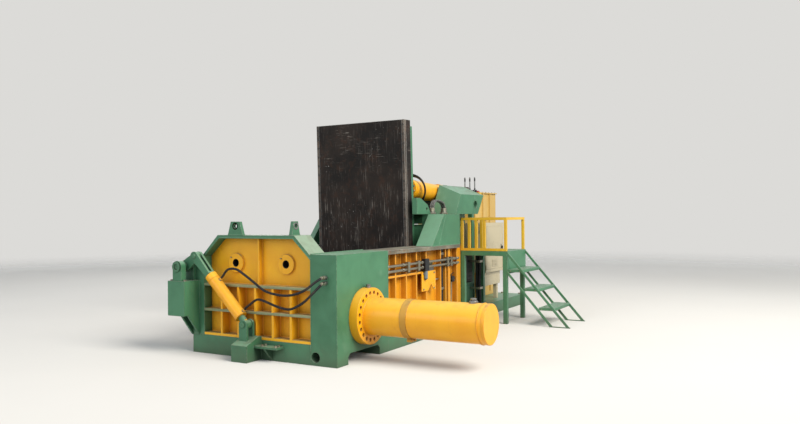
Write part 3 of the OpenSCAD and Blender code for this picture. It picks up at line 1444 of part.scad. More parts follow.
base_frame();
near_block();
near_wall();
near_flange();
far_wall();
far_flange();
end_wall();
end_band();
floor_liner();
wall_liners();
shear_blades();
head_wall();
near_cheek();
far_cheek();
crosshead();
hinge_pins();
main_cylinder();
main_bolts();
main_ram();
pusher_cylinder();
pusher_bolts();
long_pusher();
lid_slab();
lid_blades();
lid_ribs();
lid_lug_pins();
lid_rods();
lid_barrels();
bale_tray();
turnout_shaft();
turnout_crank();
turnout_pedestal();
turnout_rear_bearing();
turnout_bracket();
turnout_barrel();
turnout_fork();
platform();
guard_rail();
stairs();
valve_stand();
valve_bank();
lever_1();
lever_2();
lever_3();
stop_box();
stop_button();
power_skid();
oil_tank();
tank_fittings();
motor_pumps();
cabinet();
cabinet_door();
door_handle();
side_pipes();
side_valve();
pipe_post();
hose_fittings();
lid_hose();
turnout_hose_upper();
turnout_hose_lower();
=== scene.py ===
"""Dressing of the recycling baler: its finishes, fine parts, camera and studio."""

from __future__ import annotations

import logging
import math
from dataclasses import dataclass, field
from enum import Enum
from typing import Any, Sequence

import bmesh
import bpy
from mathutils import Matrix, Vector


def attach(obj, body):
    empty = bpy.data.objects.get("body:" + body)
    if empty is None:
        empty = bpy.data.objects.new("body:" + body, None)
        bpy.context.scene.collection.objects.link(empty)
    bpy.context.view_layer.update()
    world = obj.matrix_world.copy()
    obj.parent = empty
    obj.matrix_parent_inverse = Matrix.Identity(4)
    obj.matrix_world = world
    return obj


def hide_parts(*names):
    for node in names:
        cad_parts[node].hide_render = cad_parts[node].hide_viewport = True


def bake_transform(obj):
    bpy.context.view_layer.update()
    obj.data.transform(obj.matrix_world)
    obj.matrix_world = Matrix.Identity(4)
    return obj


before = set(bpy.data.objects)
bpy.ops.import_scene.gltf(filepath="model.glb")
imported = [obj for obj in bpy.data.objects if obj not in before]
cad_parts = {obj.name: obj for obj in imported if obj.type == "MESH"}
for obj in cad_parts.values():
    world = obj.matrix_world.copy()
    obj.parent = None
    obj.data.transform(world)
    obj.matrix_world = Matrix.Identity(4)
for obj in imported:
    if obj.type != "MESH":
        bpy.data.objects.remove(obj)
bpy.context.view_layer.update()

LOG = logging.getLogger("baler")
Point = tuple[float, float, float]
Colour = str | tuple[float, ...]
Seat = tuple[Point, Point]
UP, DOWN, NEAR, FAR, FRONT, REAR = (0, 0, 1), (0, 0, -1), (0, -1, 0), (0, 1, 0), (-1, 0, 0), (1, 0, 0)


def linear(code: str) -> tuple[float, ...]:
    """Linear colour of a hexadecimal sRGB code.

    Args:
        code: six hexadecimal digits after a hash.

    Returns:
        Red, green and blue as linear shares.
    """
    parts = [int(code[i:i + 2], 16) / 255 for i in (1, 3, 5)]
    return tuple(p / 12.92 if p <= 0.04045 else ((p + 0.055) / 1.055) ** 2.4 for p in parts)


def darker(code: str, share: float) -> tuple[float, ...]:
    """Linear colour of a code at a share of its brightness."""
    return tuple(part * share for part in linear(code))


def add_node(tree: bpy.types.NodeTree, kind: str, settings: dict[str, Any] | None,
             inputs: dict[Any, Any] | None) -> bpy.types.Node:
    """Adds one node of any kind to a shader tree or a geometry tree.

    Args:
        tree: the node tree.
        kind: the node's type.
        settings: attributes, set first.
        inputs: numbers, colours, values or output sockets, by the input's name or place.

    Returns:
        The node.
    """
    node = tree.nodes.new(kind)
    for key, setting in (settings or {}).items():
        setattr(node, key, setting)
    for key, given in (inputs or {}).items():
        socket = node.inputs[key]
        given = given.socket if isinstance(given, Value) else given
        if isinstance(given, bpy.types.NodeSocket):
            tree.links.new(given, socket)
        elif socket.type == "RGBA":
            socket.default_value = (*(linear(given) if isinstance(given, str) else given), 1.0)
        else:
            socket.default_value = given
    return node


# ---- shader maths


class Value:
    """A number that varies over a surface, wrapped so that Python's operators add Math nodes."""

    def __init__(self, book: "NodeBook", socket: bpy.types.NodeSocket) -> None:
        """Keeps the node book and the socket that gives the number."""
        self.book = book
        self.socket = socket

    def _op(self, operation: str, *others: Any, flip: bool = False) -> "Value":
        """Adds one Math node.

        Args:
            operation: name of the Math node's operation.
            others: further numbers or values.
            flip: True puts this value second.

        Returns:
            The node's result.
        """
        values = [self, *others]
        if flip:
            values[0], values[1] = values[1], values[0]
        return self.book.node("ShaderNodeMath", {"operation": operation}, dict(enumerate(values)))

    def __add__(self, other: Any) -> "Value":
        """Sum."""
        return self._op("ADD", other)

    __radd__ = __add__

    def __sub__(self, other: Any) -> "Value":
        """Difference."""
        return self._op("SUBTRACT", other)

    def __rsub__(self, other: Any) -> "Value":
        """Difference from a plain number."""
        return self._op("SUBTRACT", other, flip=True)

    def __mul__(self, other: Any) -> "Value":
        """Product."""
        return self._op("MULTIPLY", other)

    __rmul__ = __mul__

    def __abs__(self) -> "Value":
        """Size without the sign."""
        return self._op("ABSOLUTE")

    def step(self, low: float, high: float) -> "Value":
        """Smooth step.

        Args:
            low: value that gives 0.
            high: value that gives 1. It may be below low.

        Returns:
            A value from 0 to 1.
        """
        settings = {"interpolation_type": "SMOOTHSTEP", "clamp": True}
        if high < low:
            return 1 - self.step(high, low)
        return self.book.node("ShaderNodeMapRange", settings, {"Value": self, "From Min": low, "From Max": high})

    def top(self, other: Any) -> "Value":
        """The larger of two values."""
        return self._op("MAXIMUM", other)


class NodeBook:
    """Adds nodes to the tree of one material or world."""

    def __init__(self, name: str, store: str = "materials") -> None:
        """Makes the data-block in its store, with an empty tree."""
        self.owner = getattr(bpy.data, store).new(name)
        self.owner.use_nodes = True
        self.tree = self.owner.node_tree
        self.tree.nodes.clear()

    def node(self, kind: str, settings: dict[str, Any] | None = None, inputs: dict[Any, Any] | None = None,
             out: int | str = 0) -> Value:
        """Adds one node with its settings and the inputs of its sockets, and gives the chosen output."""
        return Value(self, add_node(self.tree, kind, settings, inputs).outputs[out])

    def place(self) -> Value:
        """Object coordinates, in metres."""
        return self.node("ShaderNodeTexCoord", out="Object")

    def noise(self, scale: float, detail: float = 4.0, stretch: Point = (1.0, 1.0, 1.0), rough: float = 0.55,
              warp: float = 0.0) -> Value:
        """Fractal noise around 0.5 on object coordinates, with its scale in repeats a metre."""
        spot = self.node("ShaderNodeMapping", {"vector_type": "POINT"}, {"Vector": self.place(), "Scale": stretch})
        return self.node("ShaderNodeTexNoise", None, {"Vector": spot, "Scale": scale, "Detail": detail,
                                                      "Roughness": rough, "Distortion": warp})

    def blend(self, share: Any, first: Any, second: Any) -> Value:
        """Mixes two colours, where a share of 0 gives the first and 1 the second."""
        return self.node("ShaderNodeMix", {"data_type": "RGBA"}, {0: share, 6: first, 7: second}, 2)

    def split(self, vector: Value) -> tuple[Value, ...]:
        """The three parts of a vector."""
        node = add_node(self.tree, "ShaderNodeSeparateXYZ", None, {0: vector})
        return tuple(Value(self, part) for part in node.outputs)

    def facing(self) -> Value:
        """How far the surface faces up, from -1 to 1, on the resting object."""
        return self.split(self.node("ShaderNodeTexCoord", out="Normal"))[2]

    def height(self) -> Value:
        """Height above the ground on the resting object."""
        return self.split(self.place())[2]

    def hollow(self, reach: float) -> Value:
        """1 in corners and recesses within a reach in metres, and 0 in the open."""
        return 1 - self.node("ShaderNodeAmbientOcclusion", {"samples": 6}, {"Distance": reach}, "AO")

    def edge(self, radius: float) -> tuple[Value, Value]:
        """Rounded normal and a mask of sharp edges.

        Args:
            radius: radius of the rounding, in metres.

        Returns:
            The mask, from 0 to 1, and the rounded normal.
        """
        soft = self.node("ShaderNodeBevel", {"samples": 6}, {"Radius": radius})
        flat = self.node("ShaderNodeNewGeometry", out="Normal")
        same = self.node("ShaderNodeVectorMath", {"operation": "DOT_PRODUCT"}, {0: soft, 1: flat}, out="Value")
        return (1 - same).step(0.0, 0.12), soft

    def surface(self, **inputs: Any) -> bpy.types.Material:
        """Ends the tree in one Principled shader, whose inputs have _ for a space, and gives the material."""
        shader = self.node("ShaderNodeBsdfPrincipled", None, {k.replace("_", " "): v for k, v in inputs.items()})
        add_node(self.tree, "ShaderNodeOutputMaterial", None, {0: shader})
        return self.owner

    def bump(self, height: Value, depth: float, normal: Value | None = None) -> Value:
        """Normal bent by a relief of a depth in metres, from another normal if one is given."""
        start = {"Normal": normal} if normal else {}
        return self.node("ShaderNodeBump", None, {"Height": height, "Distance": depth, **start})


# ---- finishes

MUD = "#6b6350"
RUST = "#6b3f24"
BRIGHT = "#b9b7b0"


@dataclass(frozen=True)
class Enamel:
    """Machine enamel, brushed on plate: faded and painted paler by skylight on top, painted shade in corners, chipped
    at edges.
    """

    name: str
    slot: str
    colour: Colour
    shade: Colour
    # faded_and_skylit: paler colour of upward faces, partly real fading and partly painted skylight.
    faded_and_skylit: Colour
    # grime_and_shade: colour of the rain streaks, and of the painted shade in hollows.
    grime_and_shade: Colour
    # shade_reach and shade_share: reach and strength of the painted shade in corners and recesses.
    shade_reach: float = 0.16
    shade_share: float = 0.75
    dust: float = 0.5
    wear: float = 0.5
    gloss: float = 0.42
    ledge: float = 0.0

    def make(self) -> bpy.types.Material:
        """Builds the material."""
        book = NodeBook(self.name)
        broad, middle, fine = book.noise(1.1, 3), book.noise(7.0, 5, warp=0.4), book.noise(85.0, 3)
        patch = (broad * 0.6 + middle * 0.4).step(0.38, 0.64)
        paint = book.blend(patch, self.shade, self.colour)
        # Upward faces paler: partly real fading, partly painted skylight on the tops.
        paint = book.blend((book.facing().step(0.2, 0.9) * 0.7 + book.noise(3.1, 4).step(0.62, 0.8) * 0.25),
                           paint, self.faded_and_skylit)
        runs = book.noise(1.0, 5, (22.0, 22.0, 1.3)).step(0.56, 0.78)
        upright = 1 - abs(book.facing()).step(0.3, 0.8)
        paint = book.blend(runs * upright * 0.22, paint, self.grime_and_shade)
        # Painted shade: corners and recesses darkened towards the grime colour by an occlusion mask with some noise.
        occlusion = book.hollow(self.shade_reach)
        hollow_shade = (occlusion * (middle * 0.9 + 0.55)).step(0.22, 0.85) * self.shade_share
        paint = book.blend(hollow_shade, paint, self.grime_and_shade)
        low = (book.height() + middle * 0.22).step(0.36, 0.06)
        settled = book.facing().step(0.55, 0.95) * book.noise(14.0, 5).step(0.4, 0.68)
        paint = book.blend(low * (0.1 + self.dust * 0.4) + settled * self.dust, paint, MUD)
        if self.ledge:
            trodden = book.facing().step(0.6, 0.95) * (book.noise(19.0, 5).step(0.3, 0.6) * 0.5 + 0.5)
            paint = book.blend(trodden * self.ledge, paint, "#83886c")
        rim, soft = book.edge(0.006)
        flake = book.noise(28.0, 5, rough=0.7)
        chip = (rim * (flake + 0.25)).step(0.52, 0.62) * self.wear
        nick = book.noise(17.0, 6, rough=0.75).step(0.735, 0.75) * self.wear
        worn = chip.top(nick)
        bare = book.blend(book.noise(40.0).step(0.4, 0.6), RUST, BRIGHT)
        paint = book.blend(worn, paint, bare)
        rough = middle * 0.16 + (self.gloss - 0.08) + hollow_shade * 0.25 + worn * 0.15
        relief = fine * 0.25 + middle * 0.5 - worn * 0.8
        return book.surface(Base_Color=paint, Roughness=rough, Metallic=worn * 0.5,
                            Normal=book.bump(relief, 0.0011, soft), Specular_IOR_Level=0.45)


@dataclass(frozen=True)
class WornPlate:
    """Hard plate that scrap scrapes: dark scale, rust, pale upright scratches, and painted shade in its hollows."""

    name: str
    slot: str
    dark_scale_and_shade: Colour
    brown: Colour
    pale: Colour
    scratch: float = 0.7
    along: Point = (30.0, 30.0, 1.6)
    rust: float = 0.6
    fine: float = 0.0

    def make(self) -> bpy.types.Material:
        """Builds the material."""
        book = NodeBook(self.name)
        broad, middle = book.noise(2.2, 5), book.noise(13.0, 6, warp=0.8)
        base = book.blend(broad.step(0.36, 0.66), self.dark_scale_and_shade, self.brown)
        base = book.blend(middle.step(0.5, 0.72) * self.rust, base, RUST)
        streak = book.noise(1.0, 6, self.along, rough=0.7)
        zone = book.noise(2.6, 4).step(0.42, 0.66)
        drag = streak.step(0.55, 0.74) * zone * self.scratch
        base = book.blend(drag, base, self.pale)
        spot = book.noise(42.0, 4).step(0.66, 0.74) * zone
        base = book.blend(spot * 0.6, base, BRIGHT)
        if self.fine:
            base = self.scores(book, base)
        rim, soft = book.edge(0.008)
        shine = (rim * (book.noise(24.0, 4) + 0.4)).step(0.35, 0.6) * 0.8
        base = book.blend(shine, base, BRIGHT)
        # Painted shade: hollows darkened towards the dark scale colour.
        occlusion = book.hollow(0.25)
        base = book.blend(occlusion * 0.55, base, self.dark_scale_and_shade)
        rough = 0.78 - drag * 0.25 - shine * 0.3
        relief = middle * 0.6 + streak * 0.5
        return book.surface(Base_Color=base, Roughness=rough, Metallic=shine * 0.7 + drag * 0.25,
                            Normal=book.bump(relief, 0.0035, soft), Specular_IOR_Level=0.35)

    def scores(self, book: NodeBook, base: Value) -> Value:
        """Adds fine upright scores, densest low down, and cross scrapes near the top.

        Args:
            book: the material's node book.
            base: colour so far.

        Returns:
            The colour with the scores.
        """
        upright = book.noise(1.0, 4, (95.0, 95.0, 3.2), rough=0.65).step(0.56, 0.66)
        cross = book.noise(1.0, 4, (3.0, 5.0, 80.0), rough=0.65).step(0.58, 0.68)
        low = book.height().step(2.2, 1.1) * 0.75 + 0.25
        patch = book.noise(4.5, 5, rough=0.6).step(0.42, 0.6)
        base = book.blend(upright * patch * low * self.fine, base, self.pale)
        high = book.height().step(1.7, 2.15)
        return book.blend(cross * high * book.noise(3.3, 4).step(0.46, 0.62) * self.fine, base, self.pale)


@dataclass(frozen=True)
class BareSteel:
    """Machined or ground steel, with oil, marks, a little rust and painted shade in its corners."""

    name: str
    slot: str
    colour: Colour
    rough: float = 0.34
    rust: float = 0.35
    grain: Point = (6.0, 6.0, 120.0)

    def make(self) -> bpy.types.Material:
        """Builds the material."""
        book = NodeBook(self.name)
        broad, lines = book.noise(5.0, 5), book.noise(2.5, 3, self.grain)
        base = book.blend(lines.step(0.35, 0.7) * 0.4, self.colour, darker(self.colour, 0.62))
        bloom = (broad * 0.7 + book.noise(38.0, 5) * 0.3).step(0.53, 0.66) * self.rust
        base = book.blend(bloom, base, RUST)
        # Painted shade: corners darkened to a near-black brown by an occlusion mask.
        occlusion = book.hollow(0.08).step(0.25, 0.9)
        base = book.blend(occlusion * 0.6, base, "#2c2825")
        soft = book.edge(0.003)[1]
        return book.surface(Base_Color=base, Roughness=self.rough + bloom * 0.4 + lines * 0.12,
                            Metallic=0.92 - bloom * 0.8, Normal=book.bump(lines + bloom, 0.0006, soft))


@dataclass(frozen=True)
class Coat:
    """Even factory coat or moulding, with fine texture, handling marks and painted shade in its hollows."""

    name: str
    slot: str
    colour: Colour
    mark_and_shade: Colour
    rough: float = 0.45
    marks: float = 0.35
    texture: float = 220.0

    def make(self) -> bpy.types.Material:
        """Builds the material."""
        book = NodeBook(self.name)
        cloud, grain = book.noise(4.0, 5), book.noise(self.texture, 2)
        rubbed = (cloud * 0.6 + book.noise(26.0, 5) * 0.4).step(0.5, 0.68) * self.marks
        base = book.blend(rubbed, self.colour, self.mark_and_shade)
        # Painted shade: hollows darkened to a deep tone of the mark colour.
        base = book.blend(book.hollow(0.1).step(0.3, 0.9) * 0.5, base, darker(self.mark_and_shade, 0.35))
        soft = book.edge(0.003)[1]
        return book.surface(Base_Color=base, Roughness=self.rough + rubbed * 0.3, Metallic=0.0,
                            Normal=book.bump(grain, 0.0004, soft))


@dataclass(frozen=True)
class Hose:
    """Black hose cover with a wound wire guard, patterned along the hose's own map."""

    name: str
    slot: str
    turns: float
    depth: float = 0.0025
    crest: Colour = "#26262a"

    def make(self) -> bpy.types.Material:
        """Builds the material."""
        book = NodeBook(self.name)
        across, along, _ = book.split(book.node("ShaderNodeTexCoord", out="UV"))
        wave = book.node("ShaderNodeMath", {"operation": "SINE"}, {0: (along * self.turns + across) * math.tau})
        ring = (wave * 0.5 + 0.5).step(0.1, 0.9)
        dust = book.noise(9.0, 5).step(0.5, 0.75)
        base = book.blend(ring, "#0d0d0e", self.crest)
        base = book.blend(dust * 0.35, base, MUD)
        return book.surface(Base_Color=base, Roughness=0.62 + dust * 0.2, Metallic=0.0,
                            Normal=book.bump(ring, self.depth), Specular_IOR_Level=0.4)


@dataclass(frozen=True)
class GaugeGlass:
    """Clear glass over an oil column or a dial."""

    name: str
    slot: str
    tint: Colour

    def make(self) -> bpy.types.Material:
        """Builds the material."""
        book = NodeBook(self.name)
        haze = book.noise(12.0, 4).step(0.4, 0.8)
        return book.surface(Base_Color=book.blend(haze * 0.3, self.tint, MUD), Roughness=haze * 0.15 + 0.05,
                            Coat_Weight=0.6)


class Finish(Enum):
    """Every finish of the machine."""

    # Enamel colours, in order: base, a darker tone spread at random, paler tops (fading plus painted skylight), and
    # grime that also paints the shade in hollows.
    GREEN = Enamel("green_enamel", "green_paint", "#4c8360", "#3f7352", "#8bb294", "#264b38")
    GREEN_FINE = Enamel("green_enamel_fine", "green_paint", "#538965", "#467957", "#8fb596", "#2a523c",
                        shade_reach=0.05, wear=0.35)
    YELLOW = Enamel("yellow_enamel", "yellow_paint", "#ffc022", "#f8b21b", "#f8cc62", "#9a5d0e", shade_reach=0.16,
                    shade_share=0.75, dust=0.35, wear=0.3, ledge=0.75)
    YELLOW_TUBE = Enamel("yellow_cylinder_enamel", "yellow_paint", "#fab41c", "#f2a615", "#f8c24c", "#a9600c",
                         shade_reach=0.06, shade_share=0.6, dust=0.2, wear=0.28, gloss=0.32)
    YELLOW_FINE = Enamel("yellow_enamel_fine", "yellow_paint", "#fbb022", "#eda01b", "#f2c464", "#9a5c10",
                         shade_reach=0.03, shade_share=0.4, dust=0.3, wear=0.2)
    ORANGE = Enamel("side_enamel", "yellow_paint", "#eaa220", "#dc9117", "#e8b450", "#80480c", shade_reach=0.2,
                    shade_share=0.8, dust=0.3, wear=0.3, ledge=0.6)
    TUBE_FINE = Enamel("tube_enamel_fine", "yellow_paint", "#f2a81e", "#e59a18", "#f2bb4e", "#a0620f",
                       shade_reach=0.02, shade_share=0.4, wear=0.15, gloss=0.34)
    TANK = Enamel("tank_enamel", "yellow_paint", "#dcba6c", "#d2ad5e", "#e4cc8c", "#8e7036", shade_reach=0.08,
                  shade_share=0.5, dust=0.3, wear=0.25)
    PRIMED = Enamel("collar_primer", "yellow_paint", "#c8932f", "#b98329", "#d2a650", "#6e4c1c", shade_reach=0.03,
                    wear=0.3)
    BAND = Enamel("band_enamel", "green_paint", "#538866", "#457757", "#b3bfa8", "#264c37", dust=0.75, wear=0.7)
    DUSTY = Enamel("dusty_edge_enamel", "yellow_paint", "#98a07a", "#858d68", "#aab092", "#5a4f22", shade_reach=0.05,
                   shade_share=0.6, wear=0.5)
    TREAD = Enamel("tread_enamel", "green_paint", "#7a9f84", "#5e856b", "#9dab9a", "#2d4b3a", shade_reach=0.02,
                   dust=0.4, wear=0.9)
    RAIL = Enamel("rail_enamel", "rail_paint", "#eabd36", "#dcae2c", "#eccb66", "#86641a", shade_reach=0.03, wear=0.25)
    # A worn plate's first colour is its dark scale, also used for the painted shade in its hollows.
    WORN = WornPlate("worn_plate", "worn_liner", "#1d1a18", "#3a302a", "#8d8982")
    LID = WornPlate("lid_face", "worn_liner", "#15110e", "#2b221c", "#948d84", 0.55, (46.0, 46.0, 2.4), 0.12, 0.7)
    STRIP = WornPlate("lid_strip", "worn_liner", "#4a443e", "#6a6157", "#a9a298", 0.7, (40.0, 40.0, 9.0), 0.3)
    FLANGE = WornPlate("trodden_flange", "worn_liner", "#5b5a4e", "#8f8a78", "#b9b4a4", 0.5, (2.0, 26.0, 26.0))
    BLADE = BareSteel("blade_steel", "bare_steel", "#8d8c88", 0.4, 0.55)
    STEEL = BareSteel("ground_steel", "bare_steel", "#9b9a97", 0.3, 0.3)
    ROD = BareSteel("chromed_rod", "bare_steel", "#c4c5c7", 0.12, 0.04, (3.0, 3.0, 3.0))
    # A coat's second colour is its handling-mark colour, also the base of the painted shade in its hollows.
    CAST = Coat("cast_housing", "black_metal", "#6f7f86", "#4d565a", 0.5, 0.5, 90.0)
    CREAM = Coat("cabinet_coat", "cream_paint", "#c8bc9c", "#a09074", 0.42, 0.3)
    BLACK = Coat("black_coat", "black_metal", "#1b1b1d", "#3b3833", 0.42, 0.4)
    RED = Coat("red_moulding", "red_plastic", "#b3251f", "#7d1a16", 0.3, 0.2)
    ZINC = BareSteel("zinc_plate", "bare_steel", "#a9a491", 0.36, 0.2, (20.0, 20.0, 20.0))
    HOSE = Hose("hose_cover", "hose_rubber", 90.0)
    HOSE_GUARD = Hose("guarded_hose", "hose_rubber", 60.0, 0.004, "#8f8f8a")
    HOSE_FLAT = Hose("flat_conduit", "hose_rubber", 60.0, 0.001)
    GLASS = GaugeGlass("gauge_glass", "black_metal", "#b79b4a")

    @property
    def material(self) -> bpy.types.Material:
        """The finish's material, made at its first use."""
        return bpy.data.materials.get(self.value.name) or self.value.make()


# ---- shapes


def stand(origin: Vector | Point, way: Vector | Point, axis: str = "Z") -> Matrix:
    """Matrix that moves the origin to a place and turns an axis to a direction."""
    return Matrix.Translation(origin) @ Vector(way).to_track_quat(axis, "Y").to_matrix().to_4x4()


def circle(count: int, radius: float, shift: float = 0.0) -> list[tuple[float, float]]:
    """Points spread evenly round a circle, from a shift that is a share of their pitch."""
    turns = [math.tau * (k + shift) / count for k in range(count)]
    return [(radius * math.cos(turn), radius * math.sin(turn)) for turn in turns]


def hoop(count: int, radius: float) -> list[tuple[float, float]]:
    """Circle whose last point is its first one again."""
    points = circle(count, radius)
    return [*points, points[0]]


def as_object(name: str, mesh: bpy.types.Mesh, finish: Finish, smooth: float) -> bpy.types.Object:
    """Object at the origin, with a mesh that takes its finish and shades smoothly.

    Args:
        name: name of the object and its mesh.
        mesh: the mesh, in its place.
        finish: its finish.
        smooth: largest angle between faces that still shade smoothly, in degrees.

    Returns:
        The object.
    """
    mesh.name = name
    mesh.polygons.foreach_set("use_smooth", [True] * len(mesh.polygons))
    mesh.set_sharp_from_angle(angle=math.radians(smooth))
    if not mesh.materials:
        mesh.materials.append(finish.material)
    made = bpy.data.objects.new(name, mesh)
    bpy.context.scene.collection.objects.link(made)
    return made


class Stock:
    """Gathers the shapes of one piece, in the row frame and in metres."""

    def __init__(self) -> None:
        """Starts with no shape."""
        self.bm = bmesh.new()
        self.bm.loops.layers.uv.new("UVMap")

    def _ring(self, matrix: Matrix, along: float, radius: float, sides: int) -> list[bmesh.types.BMVert]:
        """Vertices round an axis, or a single one where the radius is nought."""
        points = circle(sides, radius)[:1 if radius < 1e-6 else sides]
        return [self.bm.verts.new(matrix @ Vector((x, y, along))) for x, y in points]

    def _skin(self, first: list[bmesh.types.BMVert], second: list[bmesh.types.BMVert], sides: int) -> None:
        """Faces between two rings."""
        for k in range(sides):
            n = (k + 1) % sides
            corners = [first[k % len(first)], first[n % len(first)], second[n % len(second)], second[k % len(second)]]
            if len(set(corners)) > 2:
                self.bm.faces.new(list(dict.fromkeys(corners)))

    def box(self, low: Point, high: Point, edge: float = 0.002) -> "Stock":
        """Adds a block with bevelled edges.

        Args:
            low: lowest corner.
            high: highest corner.
            edge: width of the bevel.

        Returns:
            This stock.
        """
        a, b = Vector(low), Vector(high)
        made = bmesh.ops.create_cube(self.bm, size=1.0)["verts"]
        size = b - a
        bmesh.ops.transform(self.bm, matrix=Matrix.Translation((a + b) / 2) @ Matrix.Diagonal((*size, 1.0)),
                            verts=made)
        width = min(edge, min(size) * 0.4)
        if width > 0.0:
            edges = list({e for v in made for e in v.link_edges})
            bmesh.ops.bevel(self.bm, geom=edges, offset=width, segments=2, profile=0.5, affect="EDGES")
        return self

    def lathe(self, origin: Point, way: Vector | Point, profile: Sequence[tuple[float, float]],
              sides: int = 32) -> "Stock":
        """Turns a profile round an axis.

        Args:
            origin: start of the axis.
            way: direction of the axis.
            profile: (distance along the axis, radius) pairs, from one end to the other.
            sides: number of sides.

        Returns:
            This stock.
        """
        matrix = stand(origin, way)
        rings = [self._ring(matrix, along, radius, sides) for along, radius in profile]
        for first, second in zip(rings, rings[1:]):
            self._skin(first, second, sides)
        for ring in (rings[0][::-1], rings[-1]):
            if len(ring) > 1:
                self.bm.faces.new(ring)
        return self

    def rod(self, start: Point, end: Point, radius: float, edge: float = 0.0015, sides: int = 24) -> "Stock":
        """Adds a round bar with chamfered ends.

        Args:
            start: centre of one end.
            end: centre of the other end.
            radius: radius of the bar.
            edge: width of the chamfer.
            sides: number of sides.

        Returns:
            This stock.
        """
        way = Vector(end) - Vector(start)
        long = way.length
        cut = min(edge, radius * 0.4, long * 0.4)
        return self.lathe(start, way, [(0, radius - cut), (cut, radius), (long - cut, radius), (long, radius - cut)],
                          sides)

    def tube(self, start: Point, end: Point, outer: float, inner: float, sides: int = 32) -> "Stock":
        """Adds a ring or pipe with a bore right through.

        Args:
            start: centre of one end.
            end: centre of the other end.
            outer: outer radius.
            inner: inner radius.
            sides: number of sides.

        Returns:
            This stock.
        """
        way = Vector(end) - Vector(start)
        long, cut = way.length, (outer - inner) * 0.15
        wall = [(0, inner), (0, outer - cut), (cut, outer), (long - cut, outer), (long, outer - cut), (long, inner)]
        rings = [self._ring(stand(start, way), along, radius, sides) for along, radius in wall]
        for first, second in zip(rings, [*rings[1:], rings[0]]):
            self._skin(first, second, sides)
        return self

    def slab(self, outline: Sequence[Point], way: Point, thick: float, edge: float = 0.0015) -> "Stock":
        """Adds a plate cut to an outline.

        Args:
            outline: corners of one face, in order.
            way: direction of the thickness.
            thick: thickness.
            edge: width of the bevel.

        Returns:
            This stock.
        """
        shift = Vector(way).normalized() * thick
        first = [self.bm.verts.new(Vector(p)) for p in outline]
        second = [self.bm.verts.new(Vector(p) + shift) for p in outline]
        faces = [self.bm.faces.new(first), self.bm.faces.new(list(reversed(second)))]
        for i in range(len(first)):
            n = (i + 1) % len(first)
            faces.append(self.bm.faces.new([first[i], second[i], second[n], first[n]]))
        bmesh.ops.recalc_face_normals(self.bm, faces=faces)
        if edge > 0.0:
            bmesh.ops.bevel(self.bm, geom=list({e for f in faces for e in f.edges}), offset=edge, segments=1,
                            affect="EDGES")
        return self

    def nut(self, centre: Point, way: Point, across: float, high: float, washer: float = 0.0) -> "Stock":
        """Adds a hexagon nut or head, on a washer if one is wanted.

        Args:
            centre: centre of its seat.
            way: direction away from the seat.
            across: width across the flats.
            high: height.
            washer: radius of the washer, or 0.

        Returns:
            This stock.
        """
        unit = Vector(way).normalized()
        base, radius = Vector(centre), across / math.sqrt(3)
        if washer > 0.0:
            self.lathe(base, unit, [(0, washer), (high * 0.15, washer), (high * 0.2, washer * 0.94)], 24)
            base = base + unit * high * 0.18
        self.lathe(base, unit, [(0, radius * 0.96), (high * 0.08, radius), (high * 0.86, radius),
                                (high, radius * 0.86), (high, radius * 0.5), (high * 0.94, 0)], 6)
        return self

    def sweep(self, route: Sequence[Vector], radius: float, sides: int = 12, caps: bool = True) -> "Stock":
        """Sweeps a round section along points, with a map that runs along it.

        Args:
            route: points of the centre line.
            radius: radius of the section.
            sides: number of sides.
            caps: True closes both ends.

        Returns:
            This stock.
        """
        uv = self.bm.loops.layers.uv.active
        ways = [(route[min(i + 1, len(route) - 1)] - route[max(i - 1, 0)]).normalized() for i in range(len(route))]
        side = ways[0].orthogonal().normalized()
        rings, far, lengths = [], 0.0, []
        for i, (spot, way) in enumerate(zip(route, ways)):
            side = (side - way * side.dot(way)).normalized()
            other = way.cross(side)
            rings.append([self.bm.verts.new(spot + (side * x + other * y) * radius) for x, y in circle(sides, 1.0)])
            far += (route[i] - route[i - 1]).length if i else 0.0
            lengths.append(far)
        for i, (first, second) in enumerate(zip(rings, rings[1:])):
            for k in range(sides):
                n = (k + 1) % sides
                face = self.bm.faces.new([first[k], first[n], second[n], second[k]])
                spots = ((k, i), (k + 1, i), (k + 1, i + 1), (k, i + 1))
                for loop, (around, at) in zip(face.loops, spots):
                    loop[uv].uv = (around / sides, lengths[at])
        if caps:
            self.bm.faces.new(list(reversed(rings[0])))
            self.bm.faces.new(rings[-1])
        return self

    def piece(self, name: str, finish: Finish, smooth: float = 35.0) -> bpy.types.Object:
        """Makes the object.

        Args:
            name: name of the piece.
            finish: its finish.
            smooth: largest angle between faces that still shade smoothly, in degrees.

        Returns:
            The object.
        """
        bmesh.ops.recalc_face_normals(self.bm, faces=self.bm.faces[:])
        mesh = bpy.data.meshes.new(name)
        self.bm.to_mesh(mesh)
        self.bm.free()
        return as_object(name, mesh, finish, smooth)


def catmull(points: Sequence[Point], steps: int) -> list[Vector]:
    """Smooth line through points.

    Args:
        points: the points, at least two.
        steps: parts of each stretch.

    Returns:
        Points of the line, ends included.
    """
    p = [Vector(q) for q in points]
    line = []
    for i in range(len(p) - 1):
        a, b, c, d = p[max(i - 1, 0)], p[i], p[i + 1], p[min(i + 2, len(p) - 1)]
        for k in range(steps):
            t = k / steps
            line.append(0.5 * (2 * b + (c - a) * t + (2 * a - 5 * b + 4 * c - d) * t * t
                               + (3 * b - a - 3 * c + d) * t ** 3))
    return [*line, p[-1]]


@dataclass(frozen=True)
class Tilt:
    """A frame turned in an upright plane, such as that of the leaning lid or of a cylinder.

    The two numbers of a place are its distance along the plane and its height.
    """

    origin: tuple[float, float]
    degrees: float

    def way(self, along: float, rise: float) -> tuple[float, float]:
        """Direction in the plane, from its parts along the frame and square to it."""
        turn = math.radians(self.degrees)
        return (along * math.cos(turn) - rise * math.sin(turn), along * math.sin(turn) + rise * math.cos(turn))

    def at(self, along: float, rise: float) -> tuple[float, float]:
        """Place in the plane, from its distances along the frame and square to it."""
        return tuple(start + part for start, part in zip(self.origin, self.way(along, rise)))


# ---- geometry trees


